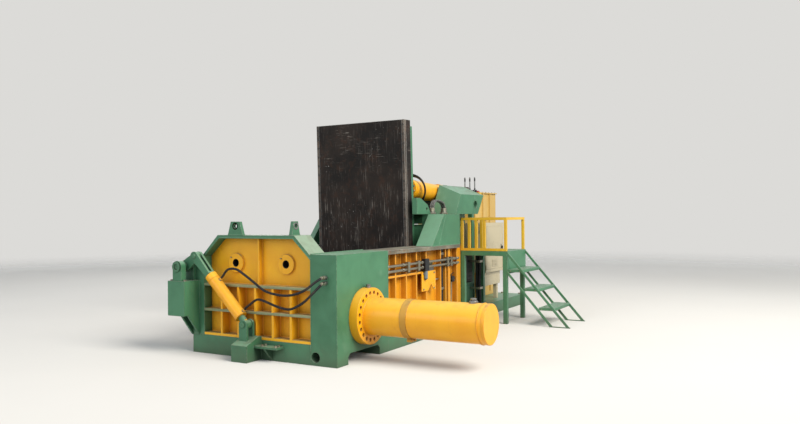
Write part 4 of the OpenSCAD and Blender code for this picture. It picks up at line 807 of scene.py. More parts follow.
class Tree:
    """Builds one geometry node tree with named inputs."""

    def __init__(self, name: str, inputs: dict[str, float | int]) -> None:
        """Makes the tree with a geometry input and numbers.

        Args:
            name: name of the tree.
            inputs: name and first value of each number.
        """
        self.group = bpy.data.node_groups.new(name, "GeometryNodeTree")
        face = self.group.interface
        face.new_socket("Geometry", in_out="INPUT", socket_type="NodeSocketGeometry")
        for key, value in inputs.items():
            kind = "NodeSocketInt" if isinstance(value, int) else "NodeSocketFloat"
            face.new_socket(key, in_out="INPUT", socket_type=kind).default_value = value
        face.new_socket("Finish", in_out="INPUT", socket_type="NodeSocketMaterial")
        face.new_socket("Geometry", in_out="OUTPUT", socket_type="NodeSocketGeometry")
        self.source = self.group.nodes.new("NodeGroupInput")

    def add(self, kind: str, settings: dict[str, Any] | None = None,
            inputs: dict[Any, Any] | None = None) -> bpy.types.Node:
        """Adds a node with its settings and its inputs."""
        return add_node(self.group, kind, settings, inputs)

    def given(self, name: str) -> bpy.types.NodeSocket:
        """The tree's own input of that name."""
        return self.source.outputs[name]

    def maths(self, operation: str, first: Any, second: Any) -> bpy.types.NodeSocket:
        """Result of a Math node on two numbers or sockets."""
        return self.add("ShaderNodeMath", {"operation": operation}, {0: first, 1: second}).outputs[0]

    def lift(self, geometry: bpy.types.NodeSocket, rise: Any) -> bpy.types.NodeSocket:
        """A shape moved along +Z by a number or socket."""
        shift = self.add("ShaderNodeCombineXYZ", None, {"Z": rise}).outputs[0]
        return self.add("GeometryNodeTransform", None, {"Geometry": geometry, "Translation": shift}).outputs[0]

    def end(self, geometry: bpy.types.NodeSocket) -> bpy.types.NodeTree:
        """Ends the tree in Realize Instances and Set Material."""
        real = self.add("GeometryNodeRealizeInstances", None, {"Geometry": geometry})
        painted = self.add("GeometryNodeSetMaterial", None, {"Geometry": real.outputs[0],
                                                             "Material": self.given("Finish")})
        self.add("NodeGroupOutput", None, {0: painted.outputs[0]})
        return self.group

    def on_points(self, instance: bpy.types.NodeSocket, seed: int = 0, spin: float = 0.0) -> bpy.types.NodeSocket:
        """Instances on the input's vertices, each turned to the vertex attribute "way".

        Args:
            instance: the shape, standing on +Z.
            seed: seed of the random turn about its own axis.
            spin: largest random turn, in radians.

        Returns:
            The instances.
        """
        way = self.add("GeometryNodeInputNamedAttribute", {"data_type": "FLOAT_VECTOR"}, {"Name": "way"})
        aim = self.add("FunctionNodeAlignEulerToVector", {"axis": "Z"}, {"Vector": way.outputs[0]})
        turn = self.add("FunctionNodeRandomValue", {"data_type": "FLOAT"}, {2: 0.0, 3: spin, "Seed": seed})
        about = self.add("ShaderNodeCombineXYZ", None, {"Z": turn.outputs[1]})
        rest = self.add("FunctionNodeRotateEuler", {"space": "LOCAL"},
                        {"Rotation": aim.outputs[0], "Rotate By": about.outputs[0]})
        points = self.add("GeometryNodeInstanceOnPoints", None,
                          {"Points": self.given("Geometry"), "Instance": instance, "Rotation": rest.outputs[0]})
        return points.outputs[0]


def grow(name: str, source: bpy.types.Mesh, tree: bpy.types.NodeTree, finish: Finish,
         sizes: dict[str, float | int], smooth: float = 35.0) -> bpy.types.Object:
    """Runs a geometry tree on a mesh and keeps the result as a plain mesh.

    Args:
        name: name of the piece.
        source: points or lines that the tree works on.
        tree: the tree.
        finish: its finish.
        sizes: values of the tree's named inputs.
        smooth: largest angle between faces that still shade smoothly, in degrees.

    Returns:
        The finished object.
    """
    seed = bpy.data.objects.new(f"{name}_seed", source)
    bpy.context.scene.collection.objects.link(seed)
    modifier = seed.modifiers.new("grow", "NODES")
    modifier.node_group = tree
    keys = {s.name: s.identifier for s in tree.interface.items_tree if s.in_out == "INPUT"}
    for key, value in sizes.items():
        modifier[keys[key]] = value
    modifier[keys["Finish"]] = finish.material
    graph = bpy.context.evaluated_depsgraph_get()
    mesh = bpy.data.meshes.new_from_object(seed.evaluated_get(graph))
    bpy.data.objects.remove(seed)
    for spare in ("way", "turn"):
        if spare in mesh.attributes:
            mesh.attributes.remove(mesh.attributes[spare])
    return as_object(name, mesh, finish, smooth)


def spots(name: str, seats: Sequence[Seat]) -> bpy.types.Mesh:
    """Mesh of loose points, each with the direction that its instance stands in.

    Args:
        name: name of the mesh.
        seats: (place, direction) pairs.

    Returns:
        The mesh.
    """
    mesh = bpy.data.meshes.new(name)
    mesh.from_pydata([p for p, _ in seats], [], [])
    ways = mesh.attributes.new("way", "FLOAT_VECTOR", "POINT")
    for item, (_, way) in zip(ways.data, seats):
        item.vector = way
    return mesh


def lines(name: str, runs: Sequence[Sequence[Point]]) -> bpy.types.Mesh:
    """Mesh of open lines, one for each run of points."""
    mesh = bpy.data.meshes.new(name)
    points = [p for run in runs for p in run]
    edges, start = [], 0
    for run in runs:
        edges += [(start + i, start + i + 1) for i in range(len(run) - 1)]
        start += len(run)
    mesh.from_pydata(points, edges, [])
    return mesh


def hex_screw_tree() -> bpy.types.NodeTree:
    """Tree of hexagon screws with their washers."""
    tree = Tree("hex_screws", {"Across": 0.03, "Head": 0.013, "Washer": 0.003, "Seed": 1})
    flats = tree.maths("DIVIDE", tree.given("Across"), math.sqrt(3))
    ring = tree.maths("MULTIPLY", tree.given("Across"), 0.66)
    head = tree.add("GeometryNodeMeshCylinder", None, {"Vertices": 6, "Radius": flats, "Depth": tree.given("Head")})
    disc = tree.add("GeometryNodeMeshCylinder", None, {"Vertices": 18, "Radius": ring, "Depth": tree.given("Washer")})
    crown = tree.add("GeometryNodeMeshCone", None, {"Vertices": 18, "Radius Top": tree.maths("MULTIPLY", flats, 0.62),
                                                    "Radius Bottom": tree.maths("MULTIPLY", flats, 0.84),
                                                    "Depth": 0.0012})
    middle = tree.maths("ADD", tree.maths("MULTIPLY", tree.given("Head"), 0.5), tree.given("Washer"))
    join = tree.add("GeometryNodeJoinGeometry")
    for part, rise in ((head, middle), (disc, tree.maths("MULTIPLY", tree.given("Washer"), 0.5)),
                       (crown, tree.maths("ADD", tree.given("Head"), tree.given("Washer")))):
        tree.group.links.new(tree.lift(part.outputs[0], rise), join.inputs[0])
    return tree.end(tree.on_points(join.outputs[0], 3, math.tau))


def weld_tree() -> bpy.types.NodeTree:
    """Tree of rippled weld beads along lines."""
    tree = Tree("weld_beads", {"Radius": 0.005, "Pitch": 0.006, "Seed": 2})
    curve = tree.add("GeometryNodeMeshToCurve", None, {"Mesh": tree.given("Geometry")})
    fine = tree.add("GeometryNodeResampleCurve", {"mode": "LENGTH"},
                    {"Curve": curve.outputs[0], "Length": tree.given("Pitch")})
    index = tree.add("GeometryNodeInputIndex")
    swell = tree.maths("MULTIPLY", tree.maths("MODULO", index.outputs[0], 2.0), 0.28)
    chance = tree.add("FunctionNodeRandomValue", {"data_type": "FLOAT"}, {2: 0.74, 3: 1.0, "Seed": 5})
    size = tree.maths("MULTIPLY", tree.maths("ADD", chance.outputs[1], swell), tree.given("Radius"))
    profile = tree.add("GeometryNodeCurvePrimitiveCircle", None, {"Resolution": 6, "Radius": 1.0})
    sweep = tree.add("GeometryNodeCurveToMesh", None, {"Curve": fine.outputs[0], "Profile Curve": profile.outputs[0],
                                                       "Scale": size, "Fill Caps": True})
    return tree.end(sweep.outputs[0])


# ---- sub-assemblies


@dataclass
class Assembly:
    """A sub-assembly of the machine: its CAD nodes' finishes and its fine parts."""

    made: list[bpy.types.Object] = field(default_factory=list)

    def dress(self, finish: Finish, *nodes: str) -> None:
        """Gives CAD nodes a finish.

        Args:
            finish: the finish.
            nodes: names of the nodes.
        """
        for name in nodes:
            mesh = bpy.data.objects[name].data
            mesh.materials.clear()
            mesh.materials.append(finish.material)

    def fit(self, piece: bpy.types.Object, body: str, slot: str) -> None:
        """Fastens a finished piece to a body.

        Args:
            piece: the piece.
            body: name of the body that it rides on.
            slot: not used.
        """
        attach(piece, body)
        self.made.append(piece)

    def add(self, name: str, stock: Stock, finish: Finish, body: str = "frame", slot: str = "",
            smooth: float = 35.0, keep: tuple[int, float] | None = None) -> None:
        """Makes a piece of stock and fastens it.

        Args:
            name: name of the piece.
            stock: its shapes.
            finish: its finish.
            body: name of the body that it rides on.
            slot: material slot of the record, where it isn't the finish's own.
            smooth: largest angle between faces that still shade smoothly, in degrees.
            keep: an axis, and the lowest place on it that the piece may reach.
        """
        piece = stock.piece(name, finish, smooth)
        for vertex in piece.data.vertices if keep else ():
            vertex.co[keep[0]] = max(vertex.co[keep[0]], keep[1])
        self.fit(piece, body, slot or finish.value.slot)

    def screws(self, name: str, seats: Sequence[Seat], across: float, body: str = "frame", head: float = 0.45) -> None:
        """Fits zinc-plated hexagon screws, with the head's height as a share of the width across its flats."""
        piece = grow(name, spots(name, seats), hex_screw_tree(), Finish.ZINC,
                     {"Across": across, "Head": across * head, "Washer": across * 0.1})
        self.fit(piece, body, "bare_steel")

    def welds(self, name: str, runs: Sequence[Sequence[Point]], radius: float, finish: Finish, body: str = "frame",
              slot: str = "") -> None:
        """Lays rippled weld beads of a radius along runs of points."""
        piece = grow(name, lines(name, runs), weld_tree(), finish, {"Radius": radius, "Pitch": radius * 1.3}, 50.0)
        self.fit(piece, body, slot or finish.value.slot)

    def build(self) -> None:
        """Builds the sub-assembly."""


TURNOUT_TILT = Tilt((0.034, 0.324), 44.6319)


@dataclass
class Hoses(Assembly):
    """The free hoses: two to the turn-out cylinder and one loop of the lid cylinders."""

    tilt: Tilt = TURNOUT_TILT
    turn_x: float = -0.075
    ports: tuple[float, float] = (0.50703, 0.112)
    port_rise: float = 0.0805
    first_bend: float = 0.105
    thin: float = 0.022
    thick: float = 0.060
    strand_gap: float = 0.0195

    def routes(self) -> dict[str, tuple[list[Point], float]]:
        """Points and diameter of each hose, as in the part's source."""
        upper, lower = ([(self.turn_x, *self.tilt.at(port, rise)) for rise in (self.port_rise, self.first_bend)]
                        for port in self.ports)
        upper += [(-0.09, 0.245, 0.818), (-0.118, 0.12, 0.828), (-0.135, 0.0, 0.78), (-0.14, -0.1, 0.725),
                  (-0.145, -0.23, 0.652), (-0.145, -0.36, 0.622), (-0.145, -0.49, 0.618), (-0.145, -0.6, 0.64),
                  (-0.138, -0.69, 0.68), (-0.11, -0.76, 0.738), (-0.055, -0.8, 0.775), (-0.03, -0.8, 0.775)]
        lower += [(-0.095, -0.02, 0.508), (-0.12, -0.128, 0.562), (-0.125, -0.21, 0.556), (-0.125, -0.3, 0.53),
                  (-0.125, -0.4, 0.505), (-0.125, -0.5, 0.497), (-0.125, -0.59, 0.53), (-0.122, -0.67, 0.58),
                  (-0.11, -0.745, 0.65), (-0.055, -0.8, 0.725), (-0.03, -0.8, 0.725)]
        loop = [(2.25, -0.69, 1.35), (2.25, -0.69, 1.385), (2.29, -0.685, 1.45), (2.405, -0.67, 1.48),
                (2.52, -0.685, 1.45), (2.56, -0.69, 1.385), (2.56, -0.69, 1.35)]
        return {"turnout_hose_upper": (upper, self.thin), "turnout_hose_lower": (lower, self.thin),
                "lid_hose": (loop, self.thick)}

    def build(self) -> None:
        for node, (points, wide) in self.routes().items():
            route = catmull(points, 10)
            thin = wide == self.thin
            strands = Stock()
            for shift in (0.0,) if thin else (-self.strand_gap, 0.0, self.strand_gap):
                strands.sweep([p + Vector((0.0, shift, 0.0)) for p in route],
                              wide / 2 - (0.0 if thin else self.strand_gap), 20)
            piece = strands.piece(f"{node}_line", Finish.HOSE if thin else Finish.HOSE_GUARD, 60.0)
            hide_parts(node)
            if thin:
                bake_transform(piece)
            else:
                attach(piece, "frame")
            length = sum((b - a).length for a, b in zip(route, route[1:]))
            self.made.append(piece)


@dataclass
class EndWall(Assembly):
    """Octagonal end panel with its ribs, the green band and the two bosses."""

    rib_pitch: float = 0.205
    rib_half: float = 0.011
    levels: tuple[tuple[float, float], ...] = ((0.204, 0.41), (0.434, 0.65))
    ledges: tuple[float, ...] = (0.18, 0.41, 0.65)
    ledge: float = 0.024
    panel: float = 0.1
    boss_y: float = 0.3
    boss_z: float = 0.87
    side: float = 0.63
    hole_z: float = 1.219667

    def rib_runs(self) -> list[list[Point]]:
        """Lines along the feet of the upright ribs."""
        x, gap = self.panel - 0.002, self.rib_half + 0.001
        runs = [[(x, i * self.rib_pitch + side * gap, low + 0.004), (x, i * self.rib_pitch + side * gap, high - 0.004)]
                for i in range(-2, 3) for side in (-1, 1) for low, high in self.levels]
        return runs + [[(x, side * gap, 0.678), (x, side * gap, 1.095)] for side in (-1, 1)]

    def ledge_runs(self) -> list[list[Point]]:
        """Lines along the undersides and tops of the cross ribs."""
        return [[(self.panel - 0.002, side * (self.side - 0.01), z) for side in (-1, 1)] for low in self.ledges
                for z in (low - 0.001, low + self.ledge + 0.001) if z > self.ledges[0]]

    def bosses(self) -> None:
        """Weld rings and grease nipples of the bosses, and black sleeves and end discs that paint the shade inside the
        bores.
        """
        nipples, bore_shade, rings = Stock(), Stock(), []
        for y in (-self.boss_y, self.boss_y):
            rings.append([(self.panel - 0.001, y + across, self.boss_z + rise) for across, rise in hoop(40, 0.092)])
            nipples.nut((0.0785, y + 0.052, self.boss_z + 0.052), FRONT, 0.011, 0.007)
            nipples.lathe((0.0715, y + 0.052, self.boss_z + 0.052), FRONT,
                          [(0, 0.0028), (0.006, 0.0028), (0.008, 0.0042), (0.011, 0.0034), (0.013, 0.0012)], 16)
            # Painted shade: a black sleeve and end disc fill each bore, whose inside lies in shade.
            bore_shade.tube((0.0795, y, self.boss_z), (0.205, y, self.boss_z), 0.03795, 0.0352, 48)
            bore_shade.lathe((0.205, y, self.boss_z), FRONT, [(0, 0.0379), (0.004, 0.0379), (0.006, 0.030)], 48)
        self.welds("boss_welds", rings, 0.005, Finish.YELLOW_FINE)
        self.add("boss_nipples", nipples, Finish.STEEL)
        self.add("boss_bores", bore_shade, Finish.BLACK)

    def strips(self) -> None:
        """Dusty worn edges of the two upper cross ribs."""
        edges, half = Stock(), self.side - 0.002
        for z in self.ledges[1:]:
            edges.box((-0.0012, -half, z + 0.0002), (0.004, half, z + self.ledge + 0.0008), 0.0008)
        self.add("ledge_edges", edges, Finish.DUSTY)

    def lugs(self) -> None:
        """Worn rings round the holes of the lifting lugs."""
        rings = Stock()
        for x in (0.0, 0.034):
            rings.tube((x - 0.0004, 0.235, self.hole_z), (x + 0.0004, 0.235, self.hole_z), 0.036, 0.0222, 40)
        for y in (-0.417, -0.383):
            rings.tube((0.08, y - 0.0008, self.hole_z), (0.08, y + 0.0008, self.hole_z), 0.034, 0.0222, 40)
        self.add("lug_wear_rings", rings, Finish.STEEL, keep=(0, 0.0))

    def build(self) -> None:
        """Builds and dresses the end wall."""
        self.dress(Finish.YELLOW, "end_wall")
        self.dress(Finish.BAND, "end_band")
        self.welds("end_rib_welds", self.rib_runs(), 0.0045, Finish.YELLOW_FINE)
        self.welds("end_ledge_welds", self.ledge_runs(), 0.005, Finish.YELLOW_FINE)
        band = [[(0.002, -0.63, 0.927), (0.002, -0.44, 1.108), (0.002, 0.44, 1.108), (0.002, 0.632, 0.931)],
                [(0.002, 0.145, 1.137), (0.002, 0.325, 1.137)], [(0.036, 0.145, 1.137), (0.036, 0.325, 1.137)],
                [(0.024, -0.418, 1.137), (0.136, -0.418, 1.137)], [(0.024, -0.382, 1.137), (0.136, -0.382, 1.137)]]
        self.welds("band_welds", band, 0.005, Finish.GREEN_FINE)
        self.bosses()
        self.strips()
        self.lugs()


@dataclass
class Bed(Assembly):
    """Base, ram block, side walls, liners and the worn top plates."""

    near_out: float = -0.91
    web: float = -0.81
    ribs: tuple[float, ...] = (1.07, 1.29, 1.51, 1.73, 2.08, 2.21, 2.28, 2.508)
    wide_rib: float = 2.28
    panel_end: float = 2.53
    sill: float = 0.15
    flange: float = 0.93

    def side_welds(self) -> None:
        """Beads at the feet of the side wall's ribs and under its flange."""
        y = self.web - 0.002
        runs = [[(edge, y, self.sill + 0.01), (edge, y, self.flange - 0.01)] for x in self.ribs
                for edge in (x - 0.001, x + (0.061 if x == self.wide_rib else 0.023))]
        runs += [[(0.88, y, z), (self.panel_end - 0.03, y, z)] for z in (self.flange - 0.002, self.sill + 0.002)]
        self.welds("side_rib_welds", runs, 0.005, Finish.YELLOW_FINE)

    def block_details(self) -> None:
        """Plugs of the block and the seams of the block, the cheek and the sheets round it."""
        plugs = Stock()
        for x, z in ((0.045, 0.915), (0.045, 0.045), (0.82, 0.045)):
            plugs.lathe((x, self.near_out + 0.004, z), NEAR, [(0, 0.014), (0.0025, 0.014), (0.0038, 0.012)], 24)
        self.add("block_plugs", plugs, Finish.GREEN_FINE, keep=(1, self.near_out + 0.0004))
        y = self.near_out + 0.004
        seams = [[(0.872, y, 0.16), (0.872, y, 0.965)], [(0.01, -0.632, 0.972), (0.86, -0.632, 0.972)],
                 [(1.82, y, 0.972), (self.panel_end - 0.004, y, 0.972)],
                 [(1.816, y + 0.006, 0.972), (1.816, -0.712, 0.972)],
                 [(2.121, -0.704, 0.972), (2.121, -0.636, 0.972)], [(2.534, -0.714, 0.972), (2.972, -0.714, 0.972)],
                 [(2.533, y + 0.196, 0.95), (2.533, -0.714, 0.95)],
                 [(1.985, y - 0.0015, 0.976), (2.165, y - 0.0015, 1.316)]]
        self.welds("block_welds", seams, 0.006, Finish.GREEN_FINE)

    def blade_bolts(self) -> None:
        """Countersunk bolts along the shear strips."""
        holes = Stock()
        for i in range(14):
            holes.lathe((0.32 + i * 0.152, -0.6102, 0.935), FAR,
                        [(0, 0.013), (0.0008, 0.013), (0.0004, 0.008), (-0.004, 0.0075), (-0.0045, 0)], 20)
        self.add("shear_bolts", holes, Finish.BLACK)

    def build(self) -> None:
        """Builds and dresses the bed."""
        self.dress(Finish.GREEN, "base_frame", "near_block", "head_wall")
        self.dress(Finish.ORANGE, "near_wall", "far_wall")
        self.dress(Finish.FLANGE, "near_flange", "far_flange")
        self.dress(Finish.WORN, "floor_liner", "wall_liners")
        self.dress(Finish.BLADE, "shear_blades")
        self.dress(Finish.STEEL, "hinge_pins")
        self.side_welds()
        self.block_details()
        self.blade_bolts()
        keepers = Stock()
        for y, way in ((-0.814, -1), (0.684, 1)):
            keepers.slab([(x, y, z) for x, z in ((1.9, 0.755), (1.98, 0.755), (1.98, 0.80), (1.9, 0.80))],
                         (0, way, 0), 0.014)
        self.add("hinge_pin_keepers", keepers, Finish.GREEN_FINE)
        self.screws("keeper_screws", [((x, y, 0.785), way) for x in (1.915, 1.965)
                                      for y, way in ((-0.828, NEAR), (0.698, FAR))], 0.017)


@dataclass
class SideGear(Assembly):
    """Pipes, check valve, guard plate and small fittings on the side wall."""

    y: float = -0.8883
    heights: tuple[float, float] = (0.757, 0.808)
    clamps: tuple[float, ...] = (1.301, 1.521, 2.221, 2.310)

    def unions(self) -> None:
        """Screwed unions on the pipes."""
        rings = Stock()
        for z in self.heights:
            for x in (0.885, 1.19, 1.60, 1.742, 2.37, 2.46):
                rings.nut((x, self.y, z), REAR, 0.0345, 0.0165)
                rings.nut((x + 0.018, self.y, z), REAR, 0.030, 0.0165)
        self.add("pipe_unions", rings, Finish.ZINC, smooth=30.0)

    def guard(self) -> None:
        """Bright yellow plate with a notch, in front of two ribs."""
        shape = [(1.621, 0.708), (1.946, 0.708), (1.946, 0.498), (1.90, 0.498), (1.838, 0.566), (1.77, 0.498),
                 (1.621, 0.498)]
        plate = Stock().slab([(x, -0.8755, z) for x, z in shape], NEAR, 0.008, 0.0015)
        self.add("valve_guard", plate, Finish.YELLOW_TUBE)
        self.screws("guard_screws", [((x, -0.8835, z), NEAR) for x in (1.66, 1.905) for z in (0.52, 0.685)],
                    0.016)

    def drain(self) -> None:
        """Drain pipe, and the small ball valve with its pipe down the wall."""
        route = catmull([(2.01, -0.812, 0.60), (2.01, -0.832, 0.60), (2.022, -0.846, 0.60), (2.04, -0.85, 0.60),
                         (2.08, -0.85, 0.60), (2.118, -0.85, 0.60)], 6)
        self.add("drain_pipe", Stock().sweep(route, 0.008, 14), Finish.ZINC)
        valve = Stock()
        valve.box((2.395, -0.870, 0.540), (2.465, -0.812, 0.602), 0.006)
        valve.rod((2.37, -0.84, 0.57), (2.49, -0.84, 0.57), 0.015)
        valve.nut((2.375, -0.84, 0.57), FRONT, 0.036, 0.018)
        valve.nut((2.485, -0.84, 0.57), REAR, 0.036, 0.014)
        valve.rod((2.43, -0.84, 0.60), (2.43, -0.84, 0.622), 0.010)
        valve.slab([(2.42, -0.846, 0.620), (2.42, -0.834, 0.620), (2.50, -0.834, 0.634), (2.50, -0.846, 0.634)],
                   UP, 0.006)
        self.add("side_ball_valve", valve, Finish.BLACK)
        pipe = Stock()
        pipe.rod((2.33, -0.84, 0.57), (2.36, -0.84, 0.57), 0.0105)
        pipe.sweep(catmull([(2.43, -0.84, 0.545), (2.43, -0.84, 0.50), (2.432, -0.838, 0.42), (2.43, -0.834, 0.32),
                            (2.43, -0.83, 0.22), (2.43, -0.828, 0.152)], 6), 0.0105, 14)
        self.add("valve_pipe", pipe, Finish.ZINC)

    def build(self) -> None:
        """Builds and dresses the side gear."""
        self.dress(Finish.ZINC, "side_pipes")
        self.dress(Finish.BLACK, "side_valve")
        self.dress(Finish.GREEN, "pipe_post")
        self.unions()
        self.guard()
        self.screws("clamp_screws", [((x, -0.9012, 0.7825), NEAR) for x in self.clamps], 0.013, head=0.5)
        self.drain()
        riser = Stock().tube((2.13, -0.832, 0.17), (2.13, -0.832, 0.925), 0.0232, 0.0221, 32)
        # Painted shadow: a second black pipe beside the riser fills the riser's shadow on the wall.
        riser.rod((2.179, -0.834, 0.1504), (2.179, -0.834, 0.929), 0.0225, 0.0, 32)
        self.add("riser_sleeve", riser, Finish.BLACK)
        bowl = Stock().tube((1.685, -0.89665, 0.635), (1.685, -0.89665, 0.716), 0.0228, 0.0212, 32)
        bowl.nut((1.685, -0.89665, 0.6302), DOWN, 0.02, 0.010)
        self.add("valve_bowl_sleeve", bowl, Finish.CAST)
        bands = Stock()
        for z in (0.24, 0.47, 0.86):
            for x0, x1, y1 in ((2.1, 2.205, -0.8585), (2.1, 2.1035, -0.811), (2.2015, 2.205, -0.811)):
                bands.box((x0, -0.862, z), (x1, y1, z + 0.03), 0.001)
        self.add("riser_bands", bands, Finish.ZINC)


@dataclass
class RamCylinder(Assembly):
    """Main and long cylinders with their bolts and wipers."""

    x: float = 0.44
    z: float = 0.4
    face: float = -0.91
    flange: float = 0.085
    radius: float = 0.17
    collar: tuple[float, float] = (0.46, 0.52)
    long: float = 1.24

    def ring(self, along: float, radius: float) -> list[Point]:
        """Circle round the main cylinder at a distance from its flange face."""
        return [(self.x + across, self.face - along, self.z + rise) for across, rise in hoop(72, radius)]

    def build(self) -> None:
        """Builds and dresses both cylinders."""
        self.dress(Finish.YELLOW_TUBE, "main_cylinder", "pusher_cylinder")
        self.dress(Finish.BLACK, "main_bolts", "pusher_bolts")
        self.dress(Finish.ROD, "main_ram", "long_pusher")
        self.welds("cylinder_welds", [self.ring(self.flange + 0.002, self.radius + 0.001),
                                      self.ring(self.long - 0.062, self.radius + 0.0005)], 0.006,
                   Finish.TUBE_FINE)
        near, far = self.face - self.collar[1], self.face - self.collar[0]
        collar = Stock().tube((self.x, far + 0.001, self.z), (self.x, near - 0.001, self.z), self.radius + 0.0042,
                              self.radius + 0.0031, 72)
        self.add("cylinder_collar", collar, Finish.PRIMED)
        clamp, under = Stock(), self.z - self.radius
        for x in (self.x - 0.045, self.x + 0.015):
            clamp.box((x, near + 0.004, under - 0.03), (x + 0.03, far - 0.004, under - 0.002), 0.003)
        self.add("collar_clamp", clamp, Finish.PRIMED)
        end = self.face - self.long
        rim = Stock().tube((self.x, end + 0.03, self.z), (self.x, end + 0.0006, self.z), self.radius + 0.002,
                           self.radius - 0.004, 72)
        self.add("cylinder_end_rim", rim, Finish.TUBE_FINE)
        ports = Stock()
        ports.lathe((self.x, end + 0.16, self.z + self.radius - 0.006), UP, [(0, 0.038), (0.02, 0.038), (0.024, 0.034)],
                    36)
        ports.nut((self.x, end + 0.16, self.z + self.radius + 0.018), UP, 0.046, 0.022)
        ports.lathe((self.x, self.face - 0.045, self.z + 0.25), UP, [(0, 0.026), (0.014, 0.026), (0.018, 0.022)], 32)
        ports.nut((self.x, self.face - 0.045, self.z + 0.268), UP, 0.034, 0.018)
        self.add("cylinder_ports", ports, Finish.STEEL)
        sockets = Stock()
        for rise, across in circle(20, 0.2125, 0.5):
            sockets.tube((self.x + across, self.face - 0.0852, self.z + rise),
                         (self.x + across, self.face - 0.0858, self.z + rise), 0.0178, 0.0161, 20)
        self.add("flange_hole_rims", sockets, Finish.STEEL)


@dataclass
class Lid(Assembly):
    """Swinging lid with its wear plate, strips, stiffeners and lugs."""

    tilt: Tilt = Tilt((1.94, 0.7), 1.8)
    face: float = 0.1
    back: float = 0.042
    seam_y: float = 0.553
    rib_ys: tuple[float, ...] = (-0.54, -0.185, 0.0, 0.185, 0.54)

    def at(self, x: float, y: float, z: float) -> Point:
        """Point of the row frame from a point of the upright lid."""
        along, rise = self.tilt.at(x, z)
        return (along, y, rise)

    def seams(self) -> None:
        """Low seams along the hardened strips of the face."""
        runs = [[self.at(-self.face, y, z) for z in (0.12, 1.66)] for y in (-self.seam_y, self.seam_y)]
        self.welds("lid_face_seams", runs, 0.003, Finish.BLACK, "lid", "worn_liner")

    def bolts(self) -> None:
        """Countersunk bolts of the hardened strips."""
        heads = Stock()
        along, rise = self.tilt.way(-1, 0)
        for y in (-0.573, 0.573):
            for i in range(15):
                heads.lathe(self.at(-self.face - 0.0002, y, 0.16 + i * 0.104), (along, 0.0, rise),
                            [(-0.002, 0.0), (-0.002, 0.0105), (0.0012, 0.0115), (0.0012, 0.0062), (-0.003, 0.006),
                             (-0.003, 0.0)], 16)
        self.add("lid_strip_bolts", heads, Finish.BLACK, "lid")

    def rib_welds(self) -> None:
        """Beads at the feet of the stiffeners."""
        runs = [[self.at(self.back, edge, z) for z in (0.17, 1.6)] for y in self.rib_ys
                for edge in (y - 0.016, y + 0.016) if abs(edge) < 0.552]
        runs += [[self.at(self.back, y, edge) for y in (-0.52, 0.52)] for z in (0.42, 1.3)
                 for edge in (z - 0.002, z + 0.032)]
        self.welds("lid_rib_welds", runs, 0.006, Finish.GREEN_FINE, "lid")

    def pins(self) -> None:
        """Keeper plates of the lug pins."""
        plates = Stock()
        x, _, z = self.at(0.17, 0, 0.93)
        for lug_y in (-0.36, 0.36):
            for way in (-1, 1):
                y = lug_y + way * 0.092
                plates.lathe((x, y, z), (0, way, 0), [(0, 0.028), (0.0035, 0.028), (0.005, 0.024)], 32)
                plates.nut((x, y + way * 0.004, z), (0, way, 0), 0.024, 0.012, 0.018)
        self.add("lug_pin_keepers", plates, Finish.ZINC, "lid")

    def build(self) -> None:
        """Builds and dresses the lid."""
        self.dress(Finish.LID, "lid_slab")
        self.dress(Finish.STRIP, "lid_blades")
        self.dress(Finish.GREEN, "lid_ribs")
        self.dress(Finish.STEEL, "lid_lug_pins")
        self.seams()
        self.bolts()
        self.rib_welds()
        self.pins()


